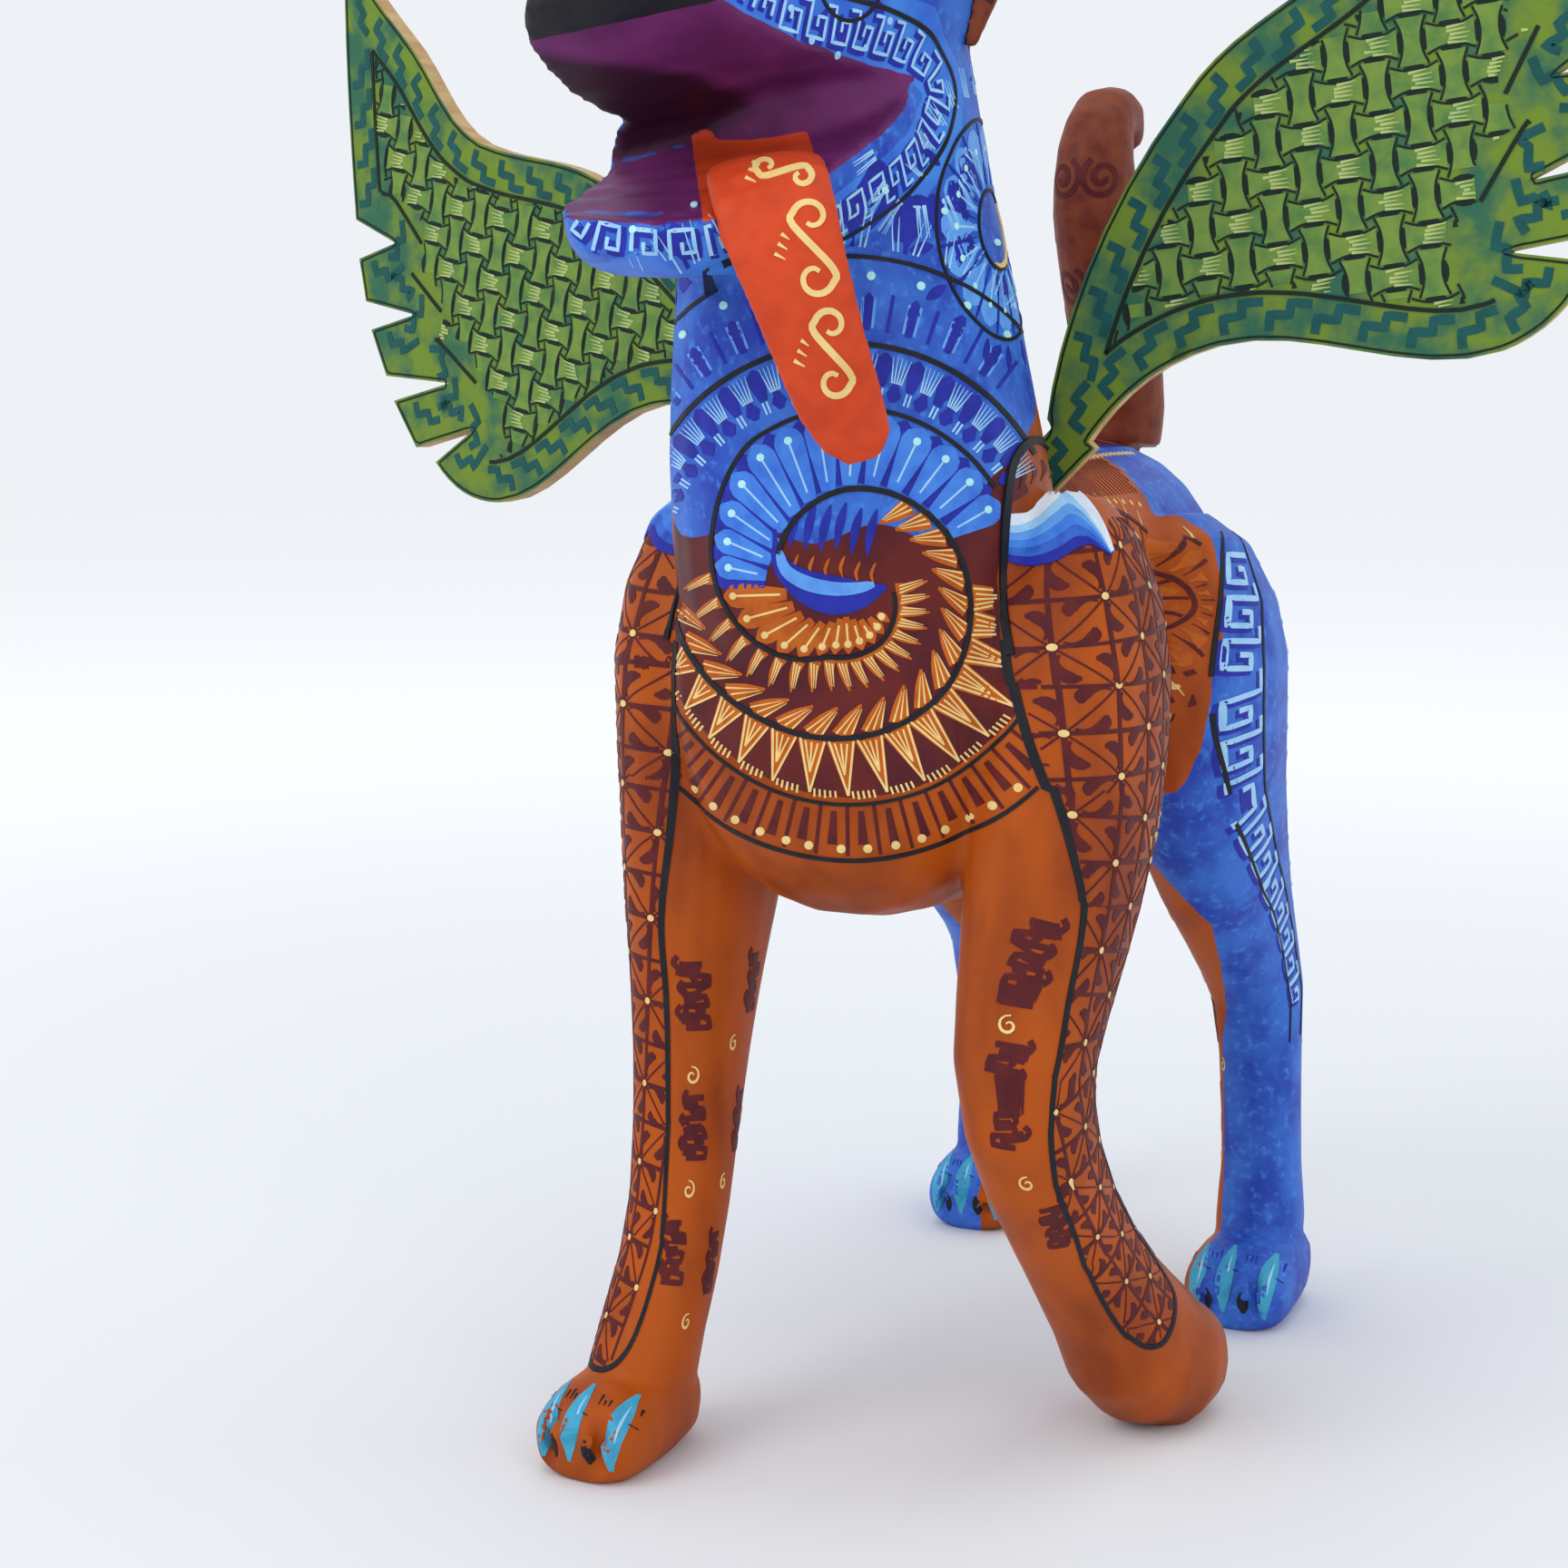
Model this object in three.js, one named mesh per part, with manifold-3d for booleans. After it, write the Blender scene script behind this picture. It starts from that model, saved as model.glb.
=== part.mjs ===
// A winged dog figure in carved, painted wood, about 44 cm tall.
//
// The torso and neck are one block. The head and the four legs are carved apart, pegged with
// dowels and glued on. The tongue is glued into the mouth. Wings, ears and tail end in square
// tenons that plug into sockets, so that they pull off for packing.
//
// Millimetres, +Z up, +X the dog's left, and it faces -Y. Stations along a limb are written as
// [x, y, z, half width, half depth]: the width lies along the limb's "across" direction.

import * as THREE from "three";
import { mergeVertices } from "three/addons/utils/BufferGeometryUtils.js";
import Module from "manifold-3d";

const wasm = await Module();
wasm.setup();

// ---- Driving dimensions ------------------------------------------------------------------

const GLUE_GAP = 0.3; // between two pieces that are glued face to face
// Where the legs are parted from the torso: the glued side, the ledge over the leg, the ends of
// its shoulder or hip block, and the height under which it stands clear of the belly.
const FRONT_CUT = { x: 36, top: 232, front: -100, rear: 104, belly: 148, lowRear: 139 };
const HIND_CUT = { x: 29, top: 224, front: 120, rear: 400, belly: 155, lowRear: 400 };
const UNDER_BELLY_REACH = 8;
const NECK_GLUE_Z = 304; // the flat that the head sits on

const DOWEL_RADIUS = 4;
const LEG_DOWEL_LENGTH = 36;
const HEAD_DOWEL_LENGTH = 34;
const DOWEL_CLEARANCE = 0.3; // radial, filled with glue
const DOWEL_END_CLEARANCE = 1;

const TENON_CLEARANCE = 0.35; // round a tenon, on each side
const TENON_END_CLEARANCE = 1.2;
const SOCKET_MOUTH = 4; // how far a socket's cut runs on past the middle of the piece's root

const WING_THICKNESS = 5;
// How far each wing points backwards, and how far its outer end is raised.
const WING_SET = {
  left_wing: { side: 1, sweep: THREE.MathUtils.degToRad(6), raise: THREE.MathUtils.degToRad(23.5) },
  right_wing: { side: -1, sweep: THREE.MathUtils.degToRad(13.5), raise: 0 },
};
const WING_ROOT = new THREE.Vector3(42, 76, 253); // the left wing's; the right one is mirrored
const WING_TENON = { width: 11, thickness: WING_THICKNESS, inside: 17, outside: 17 };
const WING_TENON_SLOPE = THREE.MathUtils.degToRad(46); // of its axis over the horizontal

// The skull slopes across the ear's root, so its tenon and socket run on up by the rise.
const EAR_TENON = { width: 9, thickness: 7, inside: 14, outside: 16, rise: 11 };
const TAIL_TENON = { width: 10, thickness: 10, inside: 18, outside: 16 };

const HEAD_YAW = THREE.MathUtils.degToRad(-10); // turned to the dog's right
const HEAD_AT = new THREE.Vector3(0, 24, 0); // the axis that the head's own frame turns about

// ---- Solids ------------------------------------------------------------------------------

const X = new THREE.Vector3(1, 0, 0);
const Z = new THREE.Vector3(0, 0, 1);

function solid(geometry) {
  const bare = geometry.index ? geometry.toNonIndexed() : geometry.clone();
  bare.deleteAttribute("normal");
  bare.deleteAttribute("uv");
  const merged = mergeVertices(bare, 1e-3);
  return new wasm.Manifold(
    new wasm.Mesh({
      numProp: 3,
      vertProperties: merged.attributes.position.array,
      triVerts: new Uint32Array(merged.index.array),
    }),
  );
}

function geometryOf(made) {
  const mesh = made.getMesh();
  const points = new Float32Array(mesh.numVert * 3);
  for (let i = 0; i < mesh.numVert; i++) {
    points.set(mesh.vertProperties.subarray(i * mesh.numProp, i * mesh.numProp + 3), i * 3);
  }
  const geometry = new THREE.BufferGeometry();
  geometry.setAttribute("position", new THREE.BufferAttribute(points, 3));
  geometry.setIndex(new THREE.BufferAttribute(mesh.triVerts, 1));
  geometry.computeVertexNormals();
  return geometry;
}

const joined = (...solids) => solids.reduce((a, b) => a.add(b));

// A closed skin over rings of a limb, whose centres and half sizes run smoothly through stations.
function loft(stations, { across = X, sides = 18, rings = 2, square = 2.2, grow = 0 } = {}) {
  const centres = new THREE.CatmullRomCurve3(
    stations.map(([x, y, z]) => new THREE.Vector3(x, y, z)),
  );
  const halves = new THREE.CatmullRomCurve3(
    stations.map(([, , , a, b]) => new THREE.Vector3(a + grow, b + grow, 0)),
  );
  const count = Math.round((stations.length - 1) * rings);
  const points = [];
  for (let i = 0; i <= count; i++) {
    const at = centres.getPoint(i / count);
    const along = centres.getTangent(i / count);
    const half = halves.getPoint(i / count);
    const side = across.clone().addScaledVector(along, -across.dot(along)).normalize();
    const other = new THREE.Vector3().crossVectors(along, side);
    for (let k = 0; k < sides; k++) {
      const angle = (k / sides) * Math.PI * 2;
      const [c, s] = [Math.cos(angle), Math.sin(angle)];
      const u = Math.sign(c) * Math.abs(c) ** (2 / square) * half.x;
      const v = Math.sign(s) * Math.abs(s) ** (2 / square) * half.y;
      points.push(at.clone().addScaledVector(side, u).addScaledVector(other, v));
    }
  }
  const first = points.push(centres.getPoint(0)) - 1;
  const last = points.push(centres.getPoint(1)) - 1;
  const faces = [];
  for (let k = 0; k < sides; k++) {
    const next = (k + 1) % sides;
    faces.push(first, next, k);
    faces.push(last, count * sides + k, count * sides + next);
    for (let i = 0; i < count; i++) {
      const [a, b] = [i * sides + k, i * sides + next];
      faces.push(a, b, b + sides, a, b + sides, a + sides);
    }
  }
  const geometry = new THREE.BufferGeometry().setFromPoints(points);
  geometry.setIndex(faces);
  return solid(geometry);
}

function box(low, high) {
  const size = high.map((h, i) => h - low[i]);
  const geometry = new THREE.BoxGeometry(...size);
  geometry.translate(...low.map((l, i) => l + size[i] / 2));
  return solid(geometry);
}

// A bar of that section from one point to another, its width along "across".
function bar(from, to, width, thickness, across) {
  const along = to.clone().sub(from);
  const length = along.length();
  along.normalize();
  const side = across.clone().addScaledVector(along, -across.dot(along)).normalize();
  const other = new THREE.Vector3().crossVectors(along, side);
  const geometry = new THREE.BoxGeometry(width, thickness, length);
  geometry.translate(0, 0, length / 2);
  geometry.applyMatrix4(new THREE.Matrix4().makeBasis(side, other, along).setPosition(from));
  return solid(geometry);
}

function rod(from, to, radius) {
  const along = to.clone().sub(from);
  const length = along.length();
  const geometry = new THREE.CylinderGeometry(radius, radius, length, 16);
  geometry.rotateX(Math.PI / 2);
  geometry.translate(0, 0, length / 2);
  const turn = new THREE.Quaternion().setFromUnitVectors(Z, along.normalize());
  geometry.applyQuaternion(turn);
  geometry.translate(from.x, from.y, from.z);
  return solid(geometry);
}

// ---- Torso, neck and legs, as carved before they are parted --------------------------------

const TORSO = [
  [0, 8, 196, 16, 22],
  [0, 14, 196, 34, 42],
  [0, 30, 196, 45, 56],
  [0, 58, 196, 51, 59],
  [0, 92, 199, 49, 53],
  [0, 126, 203, 43, 45],
  [0, 160, 206, 43, 43],
  [0, 190, 209, 40, 40],
  [0, 212, 213, 29, 30],
  [0, 222, 215, 12, 13],
];

const NECK = [
  [0, 54, 190, 34, 40],
  [0, 46, 222, 44.5, 46],
  [0, 38, 252, 42, 44],
  [0, 33, 280, 38.5, 40],
  [0, 28, 306, 34.5, 36],
  [0, 24, 334, 31, 33],
  [0, 22, 356, 28, 30],
];

// Each leg is written for the dog's left side, and "side" mirrors it.
const LEGS = {
  right_front_leg: {
    side: -1,
    stations: [
      [44, 62, 236, 10, 16],
      [47, 60, 222, 18, 27],
      [48, 58, 196, 21, 33],
      [47, 53, 166, 19.5, 29],
      [47, 48, 136, 17, 23],
      [47, 44, 108, 14, 17.5],
      [47.5, 41, 82, 12.5, 14.5],
      [48.5, 36, 52, 12, 12.5],
      [51, 30, 32, 12.5, 13],
      [52.5, 25, 16, 12.5, 15],
      [53, 22, 6, 10, 13],
    ],
    paw: { heel: [52.5, 41], toe: [54.5, -3], half: 13.5, height: 23 },
  },
  left_front_leg: {
    side: 1,
    stations: [
      [44, 60, 236, 10, 16],
      [47, 57, 222, 18, 27],
      [49, 54, 196, 21, 33],
      [49, 51, 170, 21, 31],
      [48, 45, 144, 19, 27],
      [47, 38, 124, 17, 22],
      [46.5, 34, 106, 15.5, 19],
      [47, 42, 84, 14, 16],
      [48.5, 58, 62, 13, 15],
      [51, 77, 40, 14, 16.5],
      [54, 92, 23, 16.5, 19.5],
      [57, 104, 15.5, 16.5, 18],
      [59, 117, 15, 13, 14],
      [59.5, 124, 16, 6, 7],
    ],
  },
  left_hind_leg: {
    side: 1,
    stations: [
      [36, 160, 226, 10, 18],
      [42, 158, 212, 19, 33],
      [45, 158, 188, 21.5, 38],
      [46, 164, 160, 19.5, 34],
      [47.5, 176, 134, 16.5, 26],
      [49, 192, 110, 13.5, 18],
      [50.5, 201, 92, 12.5, 14],
      [51.5, 203, 66, 11, 12],
      [52, 204, 42, 11, 12.5],
      [52, 204, 18, 12.5, 14],
      [52, 202, 8, 10, 12],
    ],
    paw: { heel: [53, 217], toe: [53, 173], half: 14, height: 24 },
  },
  right_hind_leg: {
    side: -1,
    stations: [
      [36, 168, 226, 10, 18],
      [42, 168, 212, 19, 33],
      [45, 172, 188, 21.5, 37],
      [46, 184, 160, 19.5, 32],
      [47, 203, 136, 16, 24],
      [48, 226, 112, 12.5, 17],
      [49, 240, 94, 11.5, 13],
      [50, 247, 68, 10.5, 11.5],
      [51, 251, 42, 10.5, 12],
      [51, 252, 18, 12, 13.5],
      [51, 251, 8, 10, 12],
    ],
    paw: { heel: [51, 266], toe: [49, 224], half: 13.5, height: 24 },
  },
};

const TOES = 4;
const TOE_GROOVE_RADIUS = 2.1;

// A paw is a low rounded block with grooves between its toes, which the sole cuts flat.
function paw({ heel, toe, half, height }) {
  const at = (share, z, a, b) => [
    heel[0] + (toe[0] - heel[0]) * share,
    heel[1] + (toe[1] - heel[1]) * share,
    z,
    a,
    b,
  ];
  const block = loft(
    [
      at(0, height * 0.4, half * 0.5, height * 0.3),
      at(0.12, height * 0.44, half * 0.88, height * 0.46),
      at(0.4, height * 0.46, half * 1.02, height * 0.54),
      at(0.72, height * 0.42, half * 1.08, height * 0.52),
      at(0.92, height * 0.34, half * 1.02, height * 0.42),
      at(1.04, height * 0.28, half * 0.7, height * 0.27),
    ],
    { sides: 18, square: 2.6 },
  );
  const forward = new THREE.Vector3(toe[0] - heel[0], toe[1] - heel[1], 0).normalize();
  const across = new THREE.Vector3(-forward.y, forward.x, 0);
  const grooves = [];
  for (let k = 1; k < TOES; k++) {
    const offset = ((k / TOES) * 2 - 1) * half * 1.02;
    const at3 = (share, z) =>
      new THREE.Vector3(...at(share, z).slice(0, 3)).addScaledVector(across, -offset);
    const middle = Math.abs(offset) / half;
    grooves.push(
      rod(at3(1.13 - 0.1 * middle, -2), at3(0.98 - 0.08 * middle, height * 0.98), TOE_GROOVE_RADIUS),
    );
  }
  return grooves.reduce((a, b) => a.subtract(b), block);
}

function limb({ side, stations, paw: pad }) {
  let made = loft(stations, { rings: 1.5 });
  if (pad) made = made.add(paw(pad));
  made = made.intersect(box([0, -100, 0], [200, 400, 300])); // the sole is flat on the floor
  return side < 0 ? made.mirror([1, 0, 0]) : made;
}

const legs = Object.fromEntries(Object.entries(LEGS).map(([name, leg]) => [name, limb(leg)]));

// The space that one leg's block takes of the carved blank, grown where the torso makes room.
// Under the belly it reaches further in, because the leg stands clear of the torso there.
function legBlock(name, grow) {
  const cut = name.includes("hind") ? HIND_CUT : FRONT_CUT;
  const [front, rear] = [cut.front - grow, cut.rear + grow];
  const upper = box([cut.x - grow, front, cut.belly], [200, rear, cut.top + grow]);
  const lower = box([cut.x - UNDER_BELLY_REACH, front, -10], [200, cut.lowRear, cut.belly]);
  const left = upper.add(lower);
  return name.startsWith("right") ? left.mirror([1, 0, 0]) : left;
}

const neckBelow = (grow) =>
  loft(NECK, { sides: 26, grow }).intersect(
    box([-100, -100, 0], [100, 200, NECK_GLUE_Z + grow]),
  );
const trunk = loft(TORSO, { sides: 26, square: 2.15 });
const trunkCleared = loft(TORSO, { sides: 26, square: 2.15, grow: GLUE_GAP })
  .add(loft(NECK, { sides: 26, grow: GLUE_GAP }));

// ---- Head --------------------------------------------------------------------------------

// In the head's own frame +Y is forward, +X the dog's left and Z as the figure's.
const intoHead = (made) =>
  made
    .mirror([0, 1, 0])
    .rotate([0, 0, THREE.MathUtils.radToDeg(HEAD_YAW)])
    .translate(HEAD_AT.toArray());

const outOfHead = (made) =>
  made
    .translate(HEAD_AT.clone().negate().toArray())
    .rotate([0, 0, -THREE.MathUtils.radToDeg(HEAD_YAW)])
    .mirror([0, 1, 0]);

const SKULL = [
  [0, -38, 366, 12, 14],
  [0, -30, 366, 25, 26],
  [0, -10, 365, 33, 38],
  [0, 12, 361, 34.5, 43],
  [0, 30, 354, 32.5, 38],
  [0, 47, 345, 28.5, 33],
  [0, 63, 342.5, 24, 29],
  [0, 77, 344.5, 19.5, 23.5],
  [0, 84, 347.5, 13.5, 16.5],
];
const JAW = [
  [0, -4, 318, 28, 24],
  [0, 14, 316, 33, 26],
  [0, 34, 309, 32, 21],
  [0, 52, 303, 28, 16],
  [0, 66, 300, 22, 13],
  [0, 76, 299, 12, 8],
];
const HEAD_SQUARE = 2.6; // 2 is an ellipse, more is boxier

// The gouge right through the muzzle runs askew, further back and higher on the dog's left. Each
// station from its corner forwards has the [y, z] of palate and floor on the right and the left.
const MOUTH = [
  { palate: [[41, 315], [12, 330]], floor: [[41, 315], [12, 330]] },
  { palate: [[46, 318.5], [21, 331.2]], floor: [[42, 311], [17.4, 323.6]] },
  { palate: [[55, 321], [34, 332.4]], floor: [[48, 308], [26, 318]] },
  { palate: [[65, 324], [47, 334.3]], floor: [[56, 305.4], [36, 312.6]] },
  { palate: [[75, 328], [61, 339.3]], floor: [[66, 302.8], [48, 305.5]] },
  { palate: [[90, 336], [76, 347]], floor: [[90, 298], [72, 297]] },
  { palate: [[125, 352], [120, 370]], floor: [[125, 292], [120, 288]] },
];
const MOUTH_SIDE = 30; // how far from the head's middle those points are
const MOUTH_REACH = 42; // how far the gouge is cut to each side

function gouge() {
  const corner = ([right, left], x) => {
    const share = (x / MOUTH_SIDE + 1) / 2;
    return [x, ...right.map((r, i) => THREE.MathUtils.lerp(r, left[i], share))];
  };
  const edge = ({ palate, floor }) =>
    [-MOUTH_REACH, MOUTH_REACH].flatMap((x) => [corner(palate, x), corner(floor, x)]);
  const slices = MOUTH.slice(1).map((station, i) =>
    wasm.Manifold.hull([...edge(MOUTH[i]), ...edge(station)]),
  );
  return joined(...slices);
}

function carvedHead() {
  const skull = loft(SKULL, { sides: 24, square: HEAD_SQUARE });
  const jaw = loft(JAW, { sides: 20, square: HEAD_SQUARE });
  return intoHead(skull.add(jaw).subtract(gouge()));
}

// ---- Tongue --------------------------------------------------------------------------------

const TONGUE = [
  [8, -22, 310.5, 10.5, 2],
  [10, -27, 309.5, 12.5, 3.2],
  [14.5, -34, 306, 12.8, 3.4],
  [19.5, -39.5, 298, 12.6, 3.4],
  [24, -40.5, 287, 11.2, 3.3],
  [27, -36, 273, 10, 3.2],
  [29, -30, 261, 9.2, 3.1],
  [30.5, -24.5, 253, 7.4, 2.8],
  [31, -23, 249, 3.6, 1.6],
];
const TONGUE_ACROSS = new THREE.Vector3(0.86, 0.46, 0.14).normalize();

// ---- Wings -------------------------------------------------------------------------------

// The blade in its own plane: x outwards from the root, y up. It ends in a point over five feathers.
const WING_FEATHERS = [
  { lip: [122, -11], notch: [106, -1.5], next: [130, -7] },
  { lip: [139, 6], notch: [116, 11], next: [142, 13] },
  { lip: [148, 26], notch: [129.5, 30], next: [150, 34] },
  { lip: [152.5, 46], notch: [137, 50], next: [153.5, 57] },
];

function wingOutline() {
  const shape = new THREE.Shape();
  shape.moveTo(-5, -7);
  shape.bezierCurveTo(8, 2, 20, 8, 38, 5.5);
  shape.bezierCurveTo(60, 2, 76, -20, 97, -21.5);
  shape.quadraticCurveTo(112, -22, ...WING_FEATHERS[0].lip);
  WING_FEATHERS.forEach(({ notch, next }, i) => {
    shape.lineTo(...notch);
    shape.lineTo(...next);
    const after = WING_FEATHERS[i + 1];
    if (after) shape.lineTo(...after.lip);
  });
  shape.quadraticCurveTo(157, 100, 156, 132);
  shape.quadraticCurveTo(147, 120, 133, 107);
  shape.bezierCurveTo(118, 94, 116, 78, 95, 73.5);
  shape.bezierCurveTo(80, 69.5, 66, 70, 52, 61);
  shape.bezierCurveTo(24, 46, 3, 22, -6, 6);
  shape.lineTo(-5, -7);
  return shape;
}

function wing({ side, sweep, raise }) {
  const out = new THREE.Vector3(Math.cos(sweep), Math.sin(sweep), 0);
  const normal = new THREE.Vector3().crossVectors(out, Z);
  const blade = new THREE.ExtrudeGeometry(wingOutline(), {
    depth: WING_THICKNESS,
    bevelEnabled: false,
    curveSegments: 8,
  });
  blade.translate(0, 0, -WING_THICKNESS / 2);
  blade.rotateZ(raise);
  blade.applyMatrix4(new THREE.Matrix4().makeBasis(out, Z, normal).setPosition(WING_ROOT));
  const axis = out
    .clone()
    .multiplyScalar(Math.cos(WING_TENON_SLOPE))
    .addScaledVector(Z, Math.sin(WING_TENON_SLOPE));
  return plugIn(solid(blade), WING_ROOT, axis, normal, WING_TENON, { on: trunkCleared, side });
}

// Gives a piece its tenon, which runs through "at" along axis, and the socket that takes it.
// The piece's root is cut back to clear what it stands on.
function plugIn(made, at, axis, normal, tenon, { on, side = 1 }) {
  const surface = at.clone().addScaledVector(axis, -tenon.outside);
  const foot = surface.clone().addScaledVector(axis, -tenon.inside);
  const across = new THREE.Vector3().crossVectors(axis, normal);
  const top = at.clone().addScaledVector(axis, tenon.rise ?? 0);
  const neck = bar(foot, top, tenon.width, tenon.thickness, across);
  const room = bar(
    foot.clone().addScaledVector(axis, -TENON_END_CLEARANCE),
    top.clone().addScaledVector(axis, SOCKET_MOUTH),
    tenon.width + 2 * TENON_CLEARANCE,
    tenon.thickness + 2 * TENON_CLEARANCE,
    across,
  );
  const sided = (part) => (side < 0 ? part.mirror([1, 0, 0]) : part);
  return { whole: sided(made).subtract(on).add(sided(neck)), socket: sided(room) };
}

// ---- Ears and tail -------------------------------------------------------------------------

// In the head's frame, for the dog's left ear: a cupped leaf that leans outwards and back.
const EAR = [
  [29.5, -13, 339, 1.2, 1.5],
  [30, -11.5, 350, 7.5, 3.6],
  [31.5, -9.5, 366, 13.8, 5.2],
  [35, -9, 384, 16.5, 5],
  [39.5, -11, 404, 14.5, 4.3],
  [43, -14, 422, 9.5, 3.4],
  [45, -16.5, 436, 3.5, 2],
];
const EAR_AT = new THREE.Vector3(30, -9, 374);
const EAR_AXIS = new THREE.Vector3(0.5, 0, 0.866);
const EAR_ACROSS = new THREE.Vector3(0.5, -0.85, -0.1);

function ear(side) {
  const leaf = loft(EAR, { across: EAR_ACROSS, sides: 16 });
  const on = loft(SKULL, { sides: 24, square: HEAD_SQUARE, grow: GLUE_GAP }).add(
    outOfHead(loft(NECK, { sides: 26, grow: GLUE_GAP })),
  );
  const made = plugIn(leaf, EAR_AT, EAR_AXIS, EAR_ACROSS, EAR_TENON, { on, side });
  return { whole: intoHead(made.whole), socket: intoHead(made.socket) };
}

const TAIL = [
  [0, 218, 246, 11, 11],
  [0, 219, 256, 12, 12],
  [0, 213, 273, 12.3, 13],
  [0, 203, 293, 12.3, 13.5],
  [0, 194.5, 313, 11.8, 13],
  [0, 193.5, 328, 10.5, 10.5],
  [0, 200, 338, 9, 8.5],
  [0, 210, 338.5, 8, 6.5],
  [0, 216.5, 332, 5.5, 4.5],
];
const TAIL_AT = new THREE.Vector3(0, 217, 262);
const TAIL_AXIS = new THREE.Vector3(0, 0.12, 1).normalize();

function tail() {
  const made = loft(TAIL, { sides: 16 });
  return plugIn(made, TAIL_AT, TAIL_AXIS, X, TAIL_TENON, { on: trunkCleared });
}

// ---- Dowels ------------------------------------------------------------------------------

const LEG_DOWELS = {
  front: [
    [44, 196],
    [72, 184],
  ],
  hind: [
    [152, 200],
    [178, 196],
  ],
};
const HEAD_DOWELS = [
  [-12, 34],
  [12, 34],
];

function dowels() {
  const found = {};
  for (const name of Object.keys(LEGS)) {
    const side = LEGS[name].side;
    const hind = name.includes("hind");
    const glue = (hind ? HIND_CUT : FRONT_CUT).x;
    LEG_DOWELS[hind ? "hind" : "front"].forEach(([y, z], k) => {
      const half = LEG_DOWEL_LENGTH / 2;
      found[`${name}_dowel_${k + 1}`] = {
        from: new THREE.Vector3(side * (glue - half), y, z),
        to: new THREE.Vector3(side * (glue + half), y, z),
      };
    });
  }
  HEAD_DOWELS.forEach(([x, y], k) => {
    const half = HEAD_DOWEL_LENGTH / 2;
    found[`head_dowel_${k + 1}`] = {
      from: new THREE.Vector3(x, y, NECK_GLUE_Z - half),
      to: new THREE.Vector3(x, y, NECK_GLUE_Z + half),
    };
  });
  return found;
}

function dowelHole({ from, to }) {
  const along = to.clone().sub(from).normalize().multiplyScalar(DOWEL_END_CLEARANCE);
  return rod(from.clone().sub(along), to.clone().add(along), DOWEL_RADIUS + DOWEL_CLEARANCE);
}

// ---- Parting the carved blank into its pieces ------------------------------------------------

const pegs = dowels();
const pegHoles = joined(...Object.values(pegs).map(dowelHole));
const wings = Object.fromEntries(Object.entries(WING_SET).map(([name, set]) => [name, wing(set)]));
const ears = { left_ear: ear(1), right_ear: ear(-1) };
const tailPiece = tail();
const wingSockets = joined(wings.left_wing.socket, wings.right_wing.socket);

const body = joined(trunk, neckBelow(0), ...Object.values(legs)).subtract(wingSockets);
const legNames = Object.keys(LEGS);
const torso = body
  .subtract(joined(...legNames.map((name) => legBlock(name, GLUE_GAP / 2))))
  .subtract(tailPiece.socket)
  .subtract(pegHoles);

function legPiece(name) {
  return joined(trunk, neckBelow(0), legs[name])
    .intersect(legBlock(name, -GLUE_GAP / 2))
    .subtract(wingSockets)
    .subtract(pegHoles);
}

const head = carvedHead()
  .add(loft(NECK, { sides: 26 }).intersect(box([-100, -100, NECK_GLUE_Z], [100, 200, 400])))
  .subtract(neckBelow(GLUE_GAP))
  .subtract(joined(ears.left_ear.socket, ears.right_ear.socket))
  .subtract(pegHoles);

const tongueOf = (grow) => loft(TONGUE, { across: TONGUE_ACROSS, sides: 14, grow });

// ---- The figure --------------------------------------------------------------------------

const PAINT = {
  brown: { color: 0xb2560f, roughness: 0.5 },
  blue: { color: 0x2f6fd0, roughness: 0.5 },
  green: { color: 0x5e8f2f, roughness: 0.55 },
  red: { color: 0xcf3414, roughness: 0.45 },
  rust: { color: 0x9c3a16, roughness: 0.5 },
  bareWood: { color: 0xd8b483, roughness: 0.75 },
};

const figure = new THREE.Group();
figure.name = "winged_dog";

function place(name, made, paint) {
  const mesh = new THREE.Mesh(
    geometryOf(made),
    new THREE.MeshStandardMaterial({ ...PAINT[paint], metalness: 0 }),
  );
  mesh.name = name;
  figure.add(mesh);
}

place("torso", torso, "brown");
place("head", head.subtract(tongueOf(GLUE_GAP)), "blue");
place("tongue", tongueOf(0), "red");
for (const name of legNames) place(name, legPiece(name), name.includes("hind") ? "blue" : "brown");
for (const [name, made] of Object.entries(wings)) place(name, made.whole, "green");
for (const [name, made] of Object.entries(ears)) place(name, made.whole, "rust");
place("tail", tailPiece.whole, "rust");
for (const [name, { from, to }] of Object.entries(pegs)) {
  place(name, rod(from, to, DOWEL_RADIUS), "bareWood");
}

// The origin is on the floor, under the middle of the whole figure.
const extent = new THREE.Box3().setFromObject(figure);
const middle = extent.getCenter(new THREE.Vector3());
for (const mesh of figure.children) mesh.geometry.translate(-middle.x, -middle.y, -extent.min.z);

export default figure;
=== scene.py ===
"""Looks of the winged dog: carved skins, base coats and hand-painted decoration in relief.

Design coordinates are the CAD's before its origin was moved: millimetres, the dog faces -Y, +X is
its left and x = 0 its middle. Canvases map flat drawings, in millimetres, onto the carved skin.
"""

import math
import random

import bmesh
import bpy
import numpy as np
from mathutils import Matrix, Vector
from mathutils.bvhtree import BVHTree


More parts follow.
